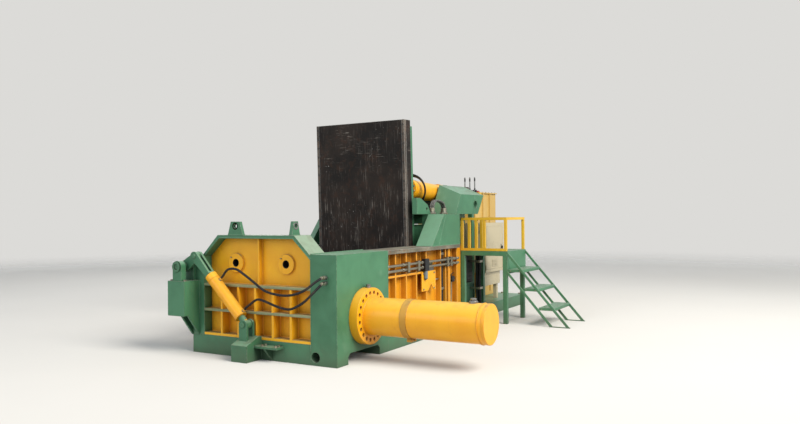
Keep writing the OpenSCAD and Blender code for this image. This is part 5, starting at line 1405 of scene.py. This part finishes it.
@dataclass
class LiftCylinders(Assembly):
    """Lid cylinders with their glands, rigid lines and the crosshead over them."""

    tilt: Tilt = Tilt((2.0807, 1.63488), -3.08194)
    side: float = 0.36
    front: float = 0.19
    radius: float = 0.108

    def at(self, side: float, along: float, y: float, z: float) -> Point:
        """Point on the near (-1) or far (1) cylinder, along it from its lug pin, across it and above its axis."""
        forward, rise = self.tilt.at(along, z)
        return (forward, side * self.side + y, rise)

    def glands(self) -> None:
        """Gland nuts, wipers and their screws at the barrels' fronts."""
        wipers, seats = Stock(), []
        forward, rise = self.tilt.way(-1, 0)
        for side in (-1, 1):
            for start, end, outer, inner, sides in ((0.178, 0.1898, 0.072, 0.0553, 48),
                                                    (0.289, 0.294, 0.1145, 0.1083, 64)):
                wipers.tube(self.at(side, start, 0, 0), self.at(side, end, 0, 0), outer, inner, sides)
            seats += [(self.at(side, self.front, y, z), (forward, 0.0, rise)) for y, z in circle(10, 0.092, 0.5)]
        self.add("barrel_wipers", wipers, Finish.BLACK, "lift_barrels")
        self.screws("gland_screws", seats, 0.018, "lift_barrels")

    def loops(self) -> None:
        """Rigid pilot lines that loop round the front of each barrel."""
        pipes, ends = Stock(), Stock()
        for side in (-1, 1):
            for along, reach, share in ((0.235, 0.165, 0.86), (0.275, 0.150, 1.0)):
                points = [self.at(side, along, 0.0, self.radius + 0.012)]
                for k in range(11):
                    turn = math.pi * (0.5 - share * k / 10)
                    points.append(self.at(side, along + 0.012 * k, side * (0.02 + (reach - 0.01) * math.cos(turn)),
                                          reach * math.sin(turn)))
                inner = Vector(self.at(side, along + 0.12, side * 0.02, -self.radius - 0.004))
                points += [(Vector(points[-1]) + inner) / 2 + Vector((0.01, 0.0, 0.0)), inner]
                pipes.sweep(catmull(points, 5), 0.011, 14)
                ends.lathe(self.at(side, along, 0, self.radius + 0.002), UP,
                           [(0, 0.024), (0.014, 0.024), (0.016, 0.017), (0.03, 0.017), (0.032, 0.013)], 6)
        self.add("barrel_pilot_lines", pipes, Finish.BLACK, "lift_barrels", slot="hose_rubber", smooth=60.0)
        self.add("barrel_ports", ends, Finish.STEEL, "lift_barrels")

    def crosshead(self) -> None:
        """Beads along the crosshead's folds and feet."""
        runs = [[(2.642, y, 1.322) for y in (-0.708, -0.49)], [(x, -0.7125, 1.317) for x in (2.65, 2.97)],
                [(2.642, y, 1.322) for y in (0.49, 0.678)], [(2.642, y, 1.322) for y in (-0.228, 0.228)]]
        self.welds("crosshead_welds", runs, 0.006, Finish.GREEN_FINE)
        ring = Stock().tube((3.226667, -0.8104, 1.44), (3.226667, -0.8116, 1.44), 0.058, 0.0462, 48)
        self.add("rig_hole_ring", ring, Finish.GREEN_FINE)

    def cross_web(self) -> None:
        """Web under the crosshead, from cheek to cheek, with its two stiffeners."""
        web = Stock().box((2.66, -0.6285, 0.62), (2.675, 0.6285, 1.1985), 0.002)
        for y in (-0.3, 0.3):
            web.box((2.674, y - 0.008, 0.62), (2.75, y + 0.008, 1.1985), 0.002)
        self.add("cross_web", web, Finish.GREEN)
        corners = ((-0.625, 0.98), (-0.625, 1.19), (0.625, 1.19), (0.625, 0.98))
        self.welds("cross_web_welds", [[(2.658, y, z) for y, z in corners]], 0.006, Finish.GREEN_FINE)

    def hose_fittings(self) -> None:
        """Crimped ends and guard rings of the thick hose."""
        parts = Stock()
        for x in (2.25, 2.56):
            parts.tube((x, -0.69, 1.352), (x, -0.69, 1.392), 0.0345, 0.0302, 36)
            parts.tube((x, -0.69, 1.350), (x, -0.69, 1.356), 0.0375, 0.0302, 36)
            parts.nut((x, -0.69, 1.322), UP, 0.082, 0.02)
        self.add("thick_hose_ferrules", parts, Finish.ZINC)

    def build(self) -> None:
        """Builds and dresses the lid cylinders and the crosshead."""
        self.dress(Finish.YELLOW_TUBE, "lid_barrels")
        self.dress(Finish.ROD, "lid_rods")
        self.dress(Finish.GREEN, "crosshead", "near_cheek", "far_cheek")
        self.glands()
        self.loops()
        self.crosshead()
        self.cross_web()
        self.hose_fittings()


@dataclass
class TurnOut(Assembly):
    """Bale turn-out: tray, shaft, crank, cylinder and their bearings."""

    tilt: Tilt = TURNOUT_TILT
    x: float = -0.075
    shaft: tuple[float, float] = (0.8, 0.835)
    radius: float = 0.0566
    neck: float = 0.03

    def at(self, along: float, rise: float, x: float = 0.0) -> Point:
        """Point on the turn-out cylinder, along it from its pivot."""
        return (self.x + x, *self.tilt.at(along, rise))

    def barrel(self) -> None:
        """Ferrules, wiper and beads of the cylinder."""
        parts = Stock()
        for along in (0.112, 0.50703):
            parts.lathe(self.at(along, 0.0565), (0.0, *self.tilt.way(0, 1)),
                        [(0, 0.0185), (0.012, 0.0185), (0.0125, 0.0162), (0.0235, 0.0162)], 6)
        parts.tube(self.at(0.6148, 0), self.at(0.6208, 0), 0.036, 0.0233, 40)
        self.add("turnout_ports", parts, Finish.ZINC, "turnout_cylinder")
        rings = [[self.at(along, rise, x) for rise, x in hoop(40, self.radius)] for along in (0.0935, 0.556)]
        self.welds("turnout_barrel_welds", rings, 0.0035, Finish.TUBE_FINE, "turnout_cylinder")

    def ferrules(self) -> None:
        """Crimped ends of the two thin hoses at the block."""
        parts = Stock()
        for z in (0.725, 0.775):
            parts.lathe((-0.031, -0.8, z), FRONT, [(0, 0.0165), (0.012, 0.0165), (0.0125, 0.0145), (0.015, 0.0142),
                                                   (0.04, 0.0142), (0.042, 0.0122)], 18)
        self.add("hose_ferrules", parts, Finish.ZINC)

    def bearings(self) -> None:
        """Shaft caps, holding bolts and the beads of the bearings' gussets."""
        caps = Stock().tube((-0.2, *self.shaft), (-0.196, *self.shaft), 0.05, 0.0306, 48)
        caps.lathe((-0.185, *self.shaft), FRONT, [(0, 0.026), (0.002, 0.026), (0.003, 0.022), (0.003, 0.006),
                                                  (0.001, 0.005), (0.001, 0)], 32)
        self.add("shaft_caps", caps, Finish.GREEN_FINE, "turnout")
        seats = [((x, y, 0.1402), UP) for x in (-0.075, -0.03) for y in (-0.30, -0.15)]
        seats += [((-0.17, y, 0.7002), UP) for y in (0.715, 0.885)]
        self.screws("turnout_bolts", seats, 0.024)
        runs = [[(-0.1935, y, 0.372) for y in (0.694, 0.906)], [(-0.002, 0.69, z) for z in (0.38, 0.695)],
                [(-0.1935, -0.072, z) for z in (0.02, 0.148)], [(-0.002, -0.072, z) for z in (0.02, 0.21)],
                [(-0.002, 0.112, z) for z in (0.02, 0.21)]]
        self.welds("turnout_welds", runs, 0.005, Finish.GREEN_FINE)

    def pins(self) -> None:
        """Ends of the fork's pin and of the lower pivot, and the paint of the barrel's eye."""
        fork = Stock()
        for x, way in ((-0.122, FRONT), (-0.028, REAR)):
            fork.lathe((x, *self.tilt.at(0.869029, 0)), way, [(0, 0.016), (0.001, 0.016), (0.0012, 0.012), (0.001, 0)],
                       24)
        pivot = self.tilt.origin
        eye = Stock().tube((self.x - 0.0265, *pivot), (self.x + 0.0265, *pivot), 0.0412, 0.0401, 48)
        eye.tube(self.at(0.038, 0), self.at(0.0912, 0), self.neck + 0.0012, self.neck + 0.0002, 40)
        self.add("barrel_eye_paint", eye, Finish.GREEN_FINE, "turnout_cylinder")
        self.add("fork_pin_ends", fork, Finish.GREEN_FINE, "turnout_rod")
        lower = Stock()
        for x, way in ((-0.137, FRONT), (-0.013, REAR)):
            lower.lathe((x, *pivot), way, [(0, 0.0255), (0.002, 0.0255), (0.003, 0.0215), (0.003, 0.01),
                                           (0.0015, 0.008), (0.0015, 0)], 32)
        self.add("pivot_pin_ends", lower, Finish.GREEN_FINE)

    def build(self) -> None:
        """Builds and dresses the turn-out."""
        self.dress(Finish.WORN, "bale_tray")
        self.dress(Finish.STEEL, "hose_fittings")
        self.dress(Finish.GREEN, "turnout_shaft", "turnout_crank", "turnout_pedestal", "turnout_rear_bearing",
                   "turnout_bracket", "turnout_fork")
        self.dress(Finish.YELLOW_TUBE, "turnout_barrel")
        self.barrel()
        self.ferrules()
        self.bearings()
        self.pins()


def tread_tree() -> bpy.types.NodeTree:
    """Tree of raised lozenges, every second one turned across."""
    tree = Tree("tread_lozenges", {"Long": 0.026, "Wide": 0.009, "High": 0.0022, "Seed": 4})
    grain = tree.add("GeometryNodeMeshIcoSphere", None, {"Radius": 1.0, "Subdivisions": 1})
    size = tree.add("ShaderNodeCombineXYZ", None,
                    {"X": tree.maths("MULTIPLY", tree.given("Long"), 0.5),
                     "Y": tree.maths("MULTIPLY", tree.given("Wide"), 0.5), "Z": tree.given("High")})
    index = tree.add("GeometryNodeInputNamedAttribute", {"data_type": "FLOAT"}, {"Name": "turn"})
    spin = tree.add("ShaderNodeCombineXYZ", None, {"Z": index.outputs[0]})
    points = tree.add("GeometryNodeInstanceOnPoints", None,
                      {"Points": tree.given("Geometry"), "Instance": grain.outputs[0], "Rotation": spin.outputs[0],
                       "Scale": size.outputs[0]})
    return tree.end(points.outputs[0])


def louvre_tree() -> bpy.types.NodeTree:
    """Tree of pressed louvres that hang from their upper edge."""
    tree = Tree("louvres", {"Long": 0.16, "Proud": 0.006, "Drop": 0.012, "Seed": 6})
    size = tree.add("ShaderNodeCombineXYZ", None, {"X": tree.given("Long"), "Y": tree.given("Drop"),
                                                   "Z": tree.given("Proud")})
    fin = tree.add("GeometryNodeMeshCube", None, {"Size": size.outputs[0]})
    return tree.end(tree.on_points(fin.outputs[0], 7, 0.0))


@dataclass
class Platform(Assembly):
    """Operator's deck with its rail and stairs."""

    low: tuple[float, float] = (2.99, -1.31)
    high: tuple[float, float] = (3.63, -0.71)
    deck: float = 0.87
    pitch: float = 0.034
    treads: tuple[tuple[float, float], ...] = ((-1.5075, 0.6525), (-1.695, 0.435), (-1.8825, 0.2175))
    tread: float = 0.1835
    post: float = 0.0155
    bead: float = 0.0168

    def lozenges(self) -> None:
        """Raised pattern of the deck and of the treads."""
        places, turns = [], []
        fields = [(self.low[0] + 0.045, self.high[0] - 0.045, self.low[1] + 0.045, self.high[1] - 0.045, self.deck)]
        fields += [(self.low[0] + 0.03, self.high[0] - 0.03, y + 0.018, y + self.tread - 0.018, z)
                   for y, z in self.treads]
        for x0, x1, y0, y1, z in fields:
            for i in range(int((x1 - x0) / self.pitch) + 1):
                for k in range(int((y1 - y0) / self.pitch) + 1):
                    places.append((x0 + i * self.pitch, y0 + k * self.pitch, z))
                    turns.append(math.pi / 4 if (i + k) % 2 else -math.pi / 4)
        mesh = bpy.data.meshes.new("lozenge_spots")
        mesh.from_pydata(places, [], [])
        mesh.attributes.new("turn", "FLOAT", "POINT").data.foreach_set("value", turns)
        sizes = {"Long": 0.027, "Wide": 0.009, "High": 0.0022}
        self.fit(grow("tread_lozenges", mesh, tread_tree(), Finish.TREAD, sizes, 60.0), "frame", "green_paint")

    def rail(self) -> None:
        """Foot flanges, caps and beads of the rail's posts."""
        feet, runs = Stock(), []
        posts = [(3.006, y) for y in (-0.726, -0.8207, -0.9153, -1.0195, -1.294)] + [(3.614, -1.294), (3.614, -0.726)]
        for x, y in posts:
            feet.box((x - self.post, y - self.post, 0.8702), (x + self.post, y + self.post, 0.876), 0.001)
            runs.append([(max(x + i * self.bead, 2.993), max(y + k * self.bead, -1.307), 0.871)
                         for i, k in ((-1, -1), (1, -1), (1, 1), (-1, 1), (-1, -1))])
        self.add("rail_feet", feet, Finish.RAIL)
        self.welds("rail_welds", runs, 0.003, Finish.RAIL)

    def stairs(self) -> None:
        """Folded noses of the treads and the bolts of the stringers."""
        noses = Stock()
        for y, z in self.treads:
            noses.box((3.002, y - 0.004, z - 0.034), (3.618, y + 0.0035, z + 0.0008), 0.0015)
            noses.box((3.002, y + self.tread - 0.0035, z - 0.034), (3.618, y + self.tread + 0.001, z + 0.0004), 0.0015)
        self.add("tread_noses", noses, Finish.GREEN_FINE)
        seats = [((x, y + shift, z - 0.016), way) for y, z in self.treads
                 for x, way in ((3.0011, FRONT), (3.6189, REAR)) for shift in (0.035, 0.15)]
        self.screws("tread_screws", seats, 0.013, head=0.4)

    def conduits(self) -> None:
        """Bundle of lines clipped to the wall end under the deck."""
        bundle, clips = Stock(), Stock()
        for i, (dx, dy) in enumerate(((0.0, 0.0), (0.032, 0.004), (0.062, -0.002), (0.015, -0.03), (0.047, -0.028))):
            x, y = 3.37 + dx, -0.757 + dy
            bundle.sweep(catmull([(x, y, 0.808), (x + 0.002 * i, y, 0.62), (x - 0.006, y + 0.004, 0.46),
                                  (x + 0.004, y, 0.30), (x, y - 0.004, 0.202), (x, y - 0.004, 0.1515)], 6), 0.0125, 14)
        for z in (0.70, 0.36):
            for x0, x1, y0, y1 in ((3.352, 3.452, -0.806, -0.802), (3.352, 3.356, -0.806, -0.735),
                                   (3.448, 3.452, -0.806, -0.735), (3.352, 3.452, -0.739, -0.735)):
                clips.box((x0, y0, z), (x1, y1, z + 0.03), 0.001)
            clips.box((3.36, -0.738, z + 0.004), (3.38, -0.645, z + 0.026), 0.001)
        self.add("deck_conduits", bundle, Finish.HOSE_FLAT, smooth=60.0)
        self.add("conduit_clips", clips, Finish.ZINC)

    def bay(self) -> None:
        """Sheets that close the pusher's bay behind the wall end: a green foot, and a black slatted screen that paints
        the shade inside the bay.
        """
        foot = Stock().box((2.981, -0.662, 0.1805), (3.486, -0.650, 0.44), 0.0015)
        foot.box((2.981, -0.672, 0.42), (3.486, -0.648, 0.445), 0.002)
        for x in (2.99, 3.232, 3.47):
            foot.box((x, -0.676, 0.1805), (x + 0.012, -0.660, 0.43), 0.001)
        self.add("bay_foot", foot, Finish.GREEN)
        # Painted shade: black screen where the inside of the bay lies in shade.
        shade_screen = Stock().box((2.981, -0.646, 0.44), (3.486, -0.638, 0.862), 0.001)
        for i in range(8):
            shade_screen.box((2.985, -0.653, 0.47 + 0.048 * i), (3.482, -0.645, 0.478 + 0.048 * i), 0.001)
        self.add("bay_screen", shade_screen, Finish.BLACK)

    def build(self) -> None:
        """Builds and dresses the platform."""
        self.dress(Finish.GREEN_FINE, "platform", "stairs")
        self.dress(Finish.RAIL, "guard_rail")
        self.lozenges()
        self.rail()
        self.stairs()
        self.conduits()
        self.bay()


@dataclass
class Controls(Assembly):
    """Hand valve bank, its levers and the stop button."""

    x0: float = 3.545
    x1: float = 3.675
    y0: float = -0.656
    y1: float = -0.476
    z0: float = 1.47
    z1: float = 1.6
    levers: tuple[float, ...] = (-0.636, -0.566, -0.496)
    axle: float = 1.622
    top: float = 1.797

    def bank(self) -> None:
        """Section joints, screws and port nuts of the valve bank."""
        sections = Stock()
        for i in range(4):
            y = self.y0 + 0.002 + i * 0.0585
            sections.box((self.x0 + 0.0005, y, self.z0 + 0.004), (self.x1 + 0.0012, y + 0.0005, self.z1 - 0.004), 0.0)
        self.add("bank_joints", sections, Finish.ZINC)
        seats = [((self.x1, y, z), REAR) for y in (self.y0 + 0.016, self.y1 - 0.016)
                 for z in (self.z0 + 0.018, self.z1 - 0.018)]
        seats += [((self.x0, y, self.z0 + 0.03), FRONT) for y in self.levers]
        self.screws("bank_screws", seats, 0.017, head=0.5)
        rings = Stock()
        for y in self.levers:
            rings.nut((self.x1 + 0.0345, y, 1.535), FRONT, 0.044, 0.02)
            rings.lathe((self.x0 + 0.065, y, self.top - 0.012), UP, [(0, 0.0085), (0.002, 0.0095)], 20)
        self.add("bank_port_nuts", rings, Finish.ZINC)

    def knobs(self) -> None:
        """Collars and grips of the levers."""
        for name, body, y in zip("abc", ("lever_one", "lever_two", "lever_three"), self.levers):
            x = self.x0 + 0.065
            grip = Stock().lathe((x, y, self.axle + 0.02), UP,
                                 [(0, 0.0084), (0.004, 0.0115), (0.014, 0.0115), (0.018, 0.0084)], 24)
            grip.tube((x, y, self.axle + 0.13), (x, y, self.axle + 0.168), 0.0096, 0.0081, 24)
            self.add(f"lever_grip_{name}", grip, Finish.BLACK, body)

    def button(self) -> None:
        """Collar, cable gland and rim of the stop button."""
        x, y = self.x0 + 0.035, self.y0 - 0.038
        collar = Stock().tube((x, y, 1.6002), (x, y, 1.6048), 0.0268, 0.0236, 36)
        self.add("button_collar", collar, Finish.RAIL)
        gland = Stock().nut((x, y, 1.53), DOWN, 0.02, 0.012)
        gland.lathe((x, y, 1.518), DOWN, [(0, 0.0075), (0.012, 0.0065), (0.02, 0.005)], 16)
        self.add("button_gland", gland, Finish.BLACK)
        rim = Stock().tube((x, y, 1.6105), (x, y, 1.6135), 0.0224, 0.0215, 36)
        self.add("button_rim", rim, Finish.RED, "stop")

    def build(self) -> None:
        """Builds and dresses the controls."""
        self.dress(Finish.GREEN_FINE, "valve_stand")
        self.dress(Finish.BLACK, "valve_bank")
        self.dress(Finish.STEEL, "lever_1", "lever_2", "lever_3")
        self.dress(Finish.RAIL, "stop_box")
        self.dress(Finish.RED, "stop_button")
        self.bank()
        self.knobs()
        self.button()


@dataclass
class PowerPack(Assembly):
    """Skid, oil tank and the two motors with their pumps."""

    tank: tuple[float, float, float, float] = (4.16, 4.91, -0.4, 0.5)
    top: float = 1.63
    motor_ys: tuple[float, ...] = (0.646, 0.34)
    motor_z: float = 0.3233

    def lid_screws(self) -> None:
        """Screws round the tank's top and on the cover of its cleaning hole."""
        x0, x1, y0, y1 = self.tank
        seats = [((x0 + 0.03 + i * (x1 - x0 - 0.06) / 6, y, self.top), UP) for i in range(7)
                 for y in (y0 - 0.006, y1 + 0.006)]
        seats += [((x, y0 + i * (y1 - y0) / 8, self.top), UP) for i in range(1, 8) for x in (x0 - 0.006, x1 + 0.006)]
        self.screws("tank_lid_screws", seats, 0.014)
        cover = [((4.9255, 0.05 + y, 0.815 + z), REAR) for y, z in circle(12, 0.19)]
        self.screws("tank_cover_screws", cover, 0.018, head=0.2)

    def fittings(self) -> None:
        """Gauge glass, filter cap and breather bands."""
        self.add("gauge_glass", Stock().box((4.1372, -0.169, 1.17), (4.1402, -0.141, 1.37), 0.001), Finish.GLASS)
        caps = Stock()
        for z in (1.162, 1.378):
            caps.nut((4.14, -0.155, z), FRONT, 0.017, 0.007)
        caps.nut((4.535, 0.2, 1.7195), UP, 0.05, 0.018)
        for x, y in circle(4, 0.056, 0.5):
            caps.nut((4.535 + x, 0.2 + y, 1.7195), UP, 0.016, 0.008)
        self.add("tank_caps", caps, Finish.ZINC)
        bands = Stock()
        for z in (1.662, 1.676, 1.690):
            bands.tube((4.3475, -0.175, z), (4.3475, -0.175, z + 0.006), 0.0462, 0.0449, 40)
        self.add("breather_bands", bands, Finish.ZINC)

    def tank_welds(self) -> None:
        """Beads up the tank's corners and ribs."""
        x0, x1, y0, y1 = self.tank
        runs = [[(x, y, 0.215), (x, y, 1.612)] for x in (x0, x1) for y in (y0, y1)]
        runs += [[(x, y0 - 0.001, 0.215), (x, y0 - 0.001, 1.612)] for x in (4.409, 4.433, 4.659, 4.683)]
        runs.append([(x0, y0, 1.613), (x1, y0, 1.613), (x1, y1, 1.613), (x0, y1, 1.613), (x0, y0, 1.613)])
        self.welds("tank_welds", runs, 0.0035, Finish.TANK)

    def motors(self) -> None:
        """Terminal boxes, fan grilles, flange screws and pump lines."""
        boxes, grilles, seats, mid = Stock(), Stock(), [], self.motor_z
        for y in self.motor_ys:
            boxes.box((3.66, y - 0.055, mid + 0.112), (3.79, y + 0.055, mid + 0.129), 0.003)
            boxes.box((3.665, y - 0.05, mid + 0.128), (3.785, min(y + 0.052, 0.776), mid + 0.186), 0.005)
            for x in (3.69, 3.735):
                boxes.rod((x, y - 0.05, mid + 0.156), (x, y - 0.075, mid + 0.156), 0.012)
            for radius in (0.03, 0.052, 0.074, 0.096):
                grilles.tube((3.5404, y, mid), (3.5372, y, mid), radius + 0.003, radius - 0.003, 40)
            for (y_in, z_in), (y_out, z_out) in zip(circle(8, 0.016), circle(8, 0.104)):
                grilles.rod((3.5386, y + y_in, mid + z_in), (3.5386, y + y_out, mid + z_out), 0.0024, 0.0004, 8)
            seats += [((3.9, y + across, mid + rise), REAR) for across, rise in circle(8, 0.116, 0.8 / math.pi)]
            seats += [((4.01, y + across, mid + rise), REAR) for across, rise in circle(6, 0.086, 0.5)]
        self.add("motor_terminal_boxes", boxes, Finish.CAST, slot="bare_steel")
        self.add("motor_fan_grilles", grilles, Finish.BLACK)
        self.screws("motor_screws", seats, 0.014, head=0.5)
        pipes = Stock()
        for y in self.motor_ys[::-1]:
            inner = min(y, 0.44)
            route = [(4.07, y, mid + 0.05), (4.07, y, mid + 0.09), (4.08, y, 0.46), (4.11, (y + inner) / 2, 0.5),
                     (4.13, inner, 0.51), (4.161, inner, 0.51)]
            pipes.sweep(catmull(route, 6), 0.021, 18)
            pipes.nut((4.07, y, mid + 0.058), UP, 0.052, 0.022)
            pipes.nut((4.1595, inner, 0.51), FRONT, 0.058, 0.022)
        self.add("suction_pipes", pipes, Finish.ZINC)

    def build(self) -> None:
        """Builds and dresses the power pack."""
        self.dress(Finish.GREEN, "power_skid")
        self.dress(Finish.TANK, "oil_tank")
        self.dress(Finish.BLACK, "tank_fittings")
        self.dress(Finish.CAST, "motor_pumps")
        self.lid_screws()
        self.fittings()
        self.tank_welds()
        self.motors()
        seats = [((x, y, 0.1502), UP) for x in (3.53, 4.9) for y in (-0.77, -0.5, 0.0, 0.55, 0.74)
                 if not (x > 4.0 and -0.42 < y < 0.52)]
        self.screws("skid_screws", seats, 0.03)


@dataclass
class Cabinet(Assembly):
    """Electrical cabinet with its door, louvres and conduits."""

    x0: float = 3.71
    x1: float = 4.36
    front: float = -0.74
    back: float = -0.43
    z0: float = 0.54
    z1: float = 1.2

    def door(self) -> None:
        """Pressed panel and key plate of the door."""
        panel, line = Stock(), 0.006
        x0, x1, z0, z1 = self.x0 + 0.04, self.x1 - 0.04, self.z0 + 0.04, self.z1 - 0.04
        for left, right, low, high in ((x0, x1, z0, z0 + line), (x0, x1, z1 - line, z1), (x0, x0 + line, z0, z1),
                                       (x1 - line, x1, z0, z1)):
            panel.box((left, self.front - 0.0025, low), (right, self.front + 0.0006, high), 0.0008)
        self.add("door_pressing", panel, Finish.CREAM, "door")
        plate = Stock().box((4.252, self.front - 0.0025, 0.845), (4.288, self.front + 0.0005, 0.905), 0.001)
        plate.tube((4.27, self.front - 0.0003, 0.87), (4.27, self.front - 0.0085, 0.87), 0.0145, 0.0092, 32)
        self.add("latch_plate", plate, Finish.ZINC, "door")

    def louvres(self) -> None:
        """Air louvres low on the door."""
        seats = [((4.035, self.front - 0.002, 0.62 + 0.02 * i), NEAR) for i in range(5)]
        piece = grow("door_louvres", spots("door_louvres", seats), louvre_tree(), Finish.CREAM,
                     {"Long": 0.18, "Proud": 0.006, "Drop": 0.011})
        self.fit(piece, "door", "cream_paint")

    def legs(self) -> None:
        """Conduits and glands under the cabinet."""
        pipes, glands = Stock(), Stock()
        for i, x in enumerate((3.84, 3.90, 3.96, 4.02)):
            y = -0.585 + 0.012 * (i % 2)
            route = [(x, y, 0.525), (x, y, 0.44), (x + 0.004, y + 0.01, 0.32), (x, y, 0.21), (x, y, 0.1512)]
            pipes.sweep(catmull(route, 6), 0.0115, 14)
            glands.nut((x, y, 0.5395), DOWN, 0.034, 0.012)
            glands.lathe((x, y, 0.5275), DOWN, [(0, 0.0155), (0.014, 0.0155), (0.018, 0.012)], 20)
        self.add("cabinet_conduits", pipes, Finish.HOSE_FLAT, smooth=60.0)
        self.add("cabinet_glands", glands, Finish.BLACK)

    def build(self) -> None:
        """Builds and dresses the cabinet."""
        self.dress(Finish.CREAM, "cabinet", "cabinet_door")
        self.dress(Finish.BLACK, "door_handle")
        self.door()
        self.louvres()
        self.legs()
        seats = [((x, self.back, z), FAR) for x in (3.74, 4.33) for z in (0.57, 1.17)]
        self.screws("cabinet_screws", seats, 0.014)


PARTS: list[type[Assembly]] = [Hoses, EndWall, Bed, SideGear, RamCylinder, Lid, LiftCylinders, TurnOut, Platform,
                               Controls, PowerPack, Cabinet]


# ---- studio


@dataclass
class Studio:
    """Pale floor, soft light and the camera at the photograph's place."""

    spot: Point = (-5.062, -4.396, 1.300)
    ahead: Point = (0.8709, 0.4914, 0.0059)
    right: Point = (0.4914, -0.8709, -0.0082)
    lens: float = 32.12
    floor_radius: float = 60.0
    key: float = 1480.0
    fill: float = 160.0
    sky: float = 0.66

    def camera(self) -> bpy.types.Object:
        """Makes the camera."""
        data = bpy.data.cameras.new("photo_camera")
        data.lens, data.sensor_width, data.clip_end = self.lens, 36.0, 400.0
        ahead = Vector(self.ahead).normalized()
        right = (Vector(self.right) - ahead * Vector(self.right).dot(ahead)).normalized()
        up = right.cross(ahead)
        made = bpy.data.objects.new("photo_camera", data)
        turn = Matrix((right, up, -ahead)).transposed()
        made.matrix_world = Matrix.Translation(self.spot) @ turn.to_4x4()
        bpy.context.scene.collection.objects.link(made)
        bpy.context.scene.camera = made
        return made

    def floor(self) -> bpy.types.Object:
        """Makes the floor, which shades off to the backdrop's colour."""
        stock = Stock()
        stock.lathe((0, 0, -0.02), UP, [(0, self.floor_radius), (0.0195, self.floor_radius)], 96)
        made = stock.piece("studio_floor", Finish.CREAM)
        book = NodeBook("floor_paint")
        pale = book.blend(book.noise(0.35, 3), "#cfcdc8", "#d6d4cf")
        matt = book.node("ShaderNodeBsdfDiffuse", None, {"Color": pale, "Roughness": 0.9})
        clear = book.node("ShaderNodeBsdfTransparent")
        away = book.node("ShaderNodeVectorMath", {"operation": "LENGTH"}, {0: book.place()}, out="Value")
        seen = book.node("ShaderNodeMixShader", None, {0: away.step(6.0, 22.0), 1: matt, 2: clear})
        add_node(book.tree, "ShaderNodeOutputMaterial", None, {0: seen})
        made.data.materials[0] = book.owner
        return made

    def lamp(self, name: str, spot: Point, aim: Point, power: float, size: float, colour: Colour) -> None:
        """Adds a square area lamp.

        Args:
            name: name of the lamp.
            spot: its place.
            aim: what it points at.
            power: power in watts.
            size: side in metres.
            colour: colour of the light.
        """
        data = bpy.data.lights.new(name, "AREA")
        data.energy, data.size, data.color = power, size, colour
        made = bpy.data.objects.new(name, data)
        made.matrix_world = stand(spot, Vector(aim) - Vector(spot), "-Z")
        bpy.context.scene.collection.objects.link(made)

    def world(self) -> None:
        """Sets a pale sky for the camera and soft light for the rest."""
        book = NodeBook("studio_sky", "worlds")
        lit = book.node("ShaderNodeBackground", None, {"Color": (0.88, 0.93, 1.0), "Strength": self.sky})
        seen = book.node("ShaderNodeBackground", None, {"Color": "#dcdbd8", "Strength": 1.0})
        camera_ray = book.node("ShaderNodeLightPath", out="Is Camera Ray")
        mixed = book.node("ShaderNodeMixShader", None, {0: camera_ray, 1: lit, 2: seen})
        add_node(book.tree, "ShaderNodeOutputWorld", None, {0: mixed})
        bpy.context.scene.world = book.owner

    def build(self) -> None:
        """Sets up the whole studio."""
        bpy.context.scene.view_settings.view_transform = "Standard"
        self.camera()
        self.floor()
        self.world()
        self.lamp("key_lamp", (-1.0, -9.5, 8.0), (1.6, -0.6, 0.7), self.key, 6.0, (1.0, 0.955, 0.885))
        self.lamp("fill_lamp", (-9.0, 3.5, 5.0), (0.6, 0.0, 0.7), self.fill, 5.0, (0.93, 0.96, 1.0))
        self.lamp("back_lamp", (7.0, 8.0, 6.0), (2.5, 0.0, 1.0), self.fill, 5.0, (1.0, 0.98, 0.95))


def main() -> None:
    """Builds every part of the scene in order and reports it."""
    logging.basicConfig(level=logging.INFO, format="%(name)s: %(message)s")
    Studio().build()
    for kind in PARTS:
        part = kind()
        part.build()
        LOG.info("%s: %s", kind.__name__, ", ".join(piece.name for piece in part.made))


if __name__ == "__main__":
    main()
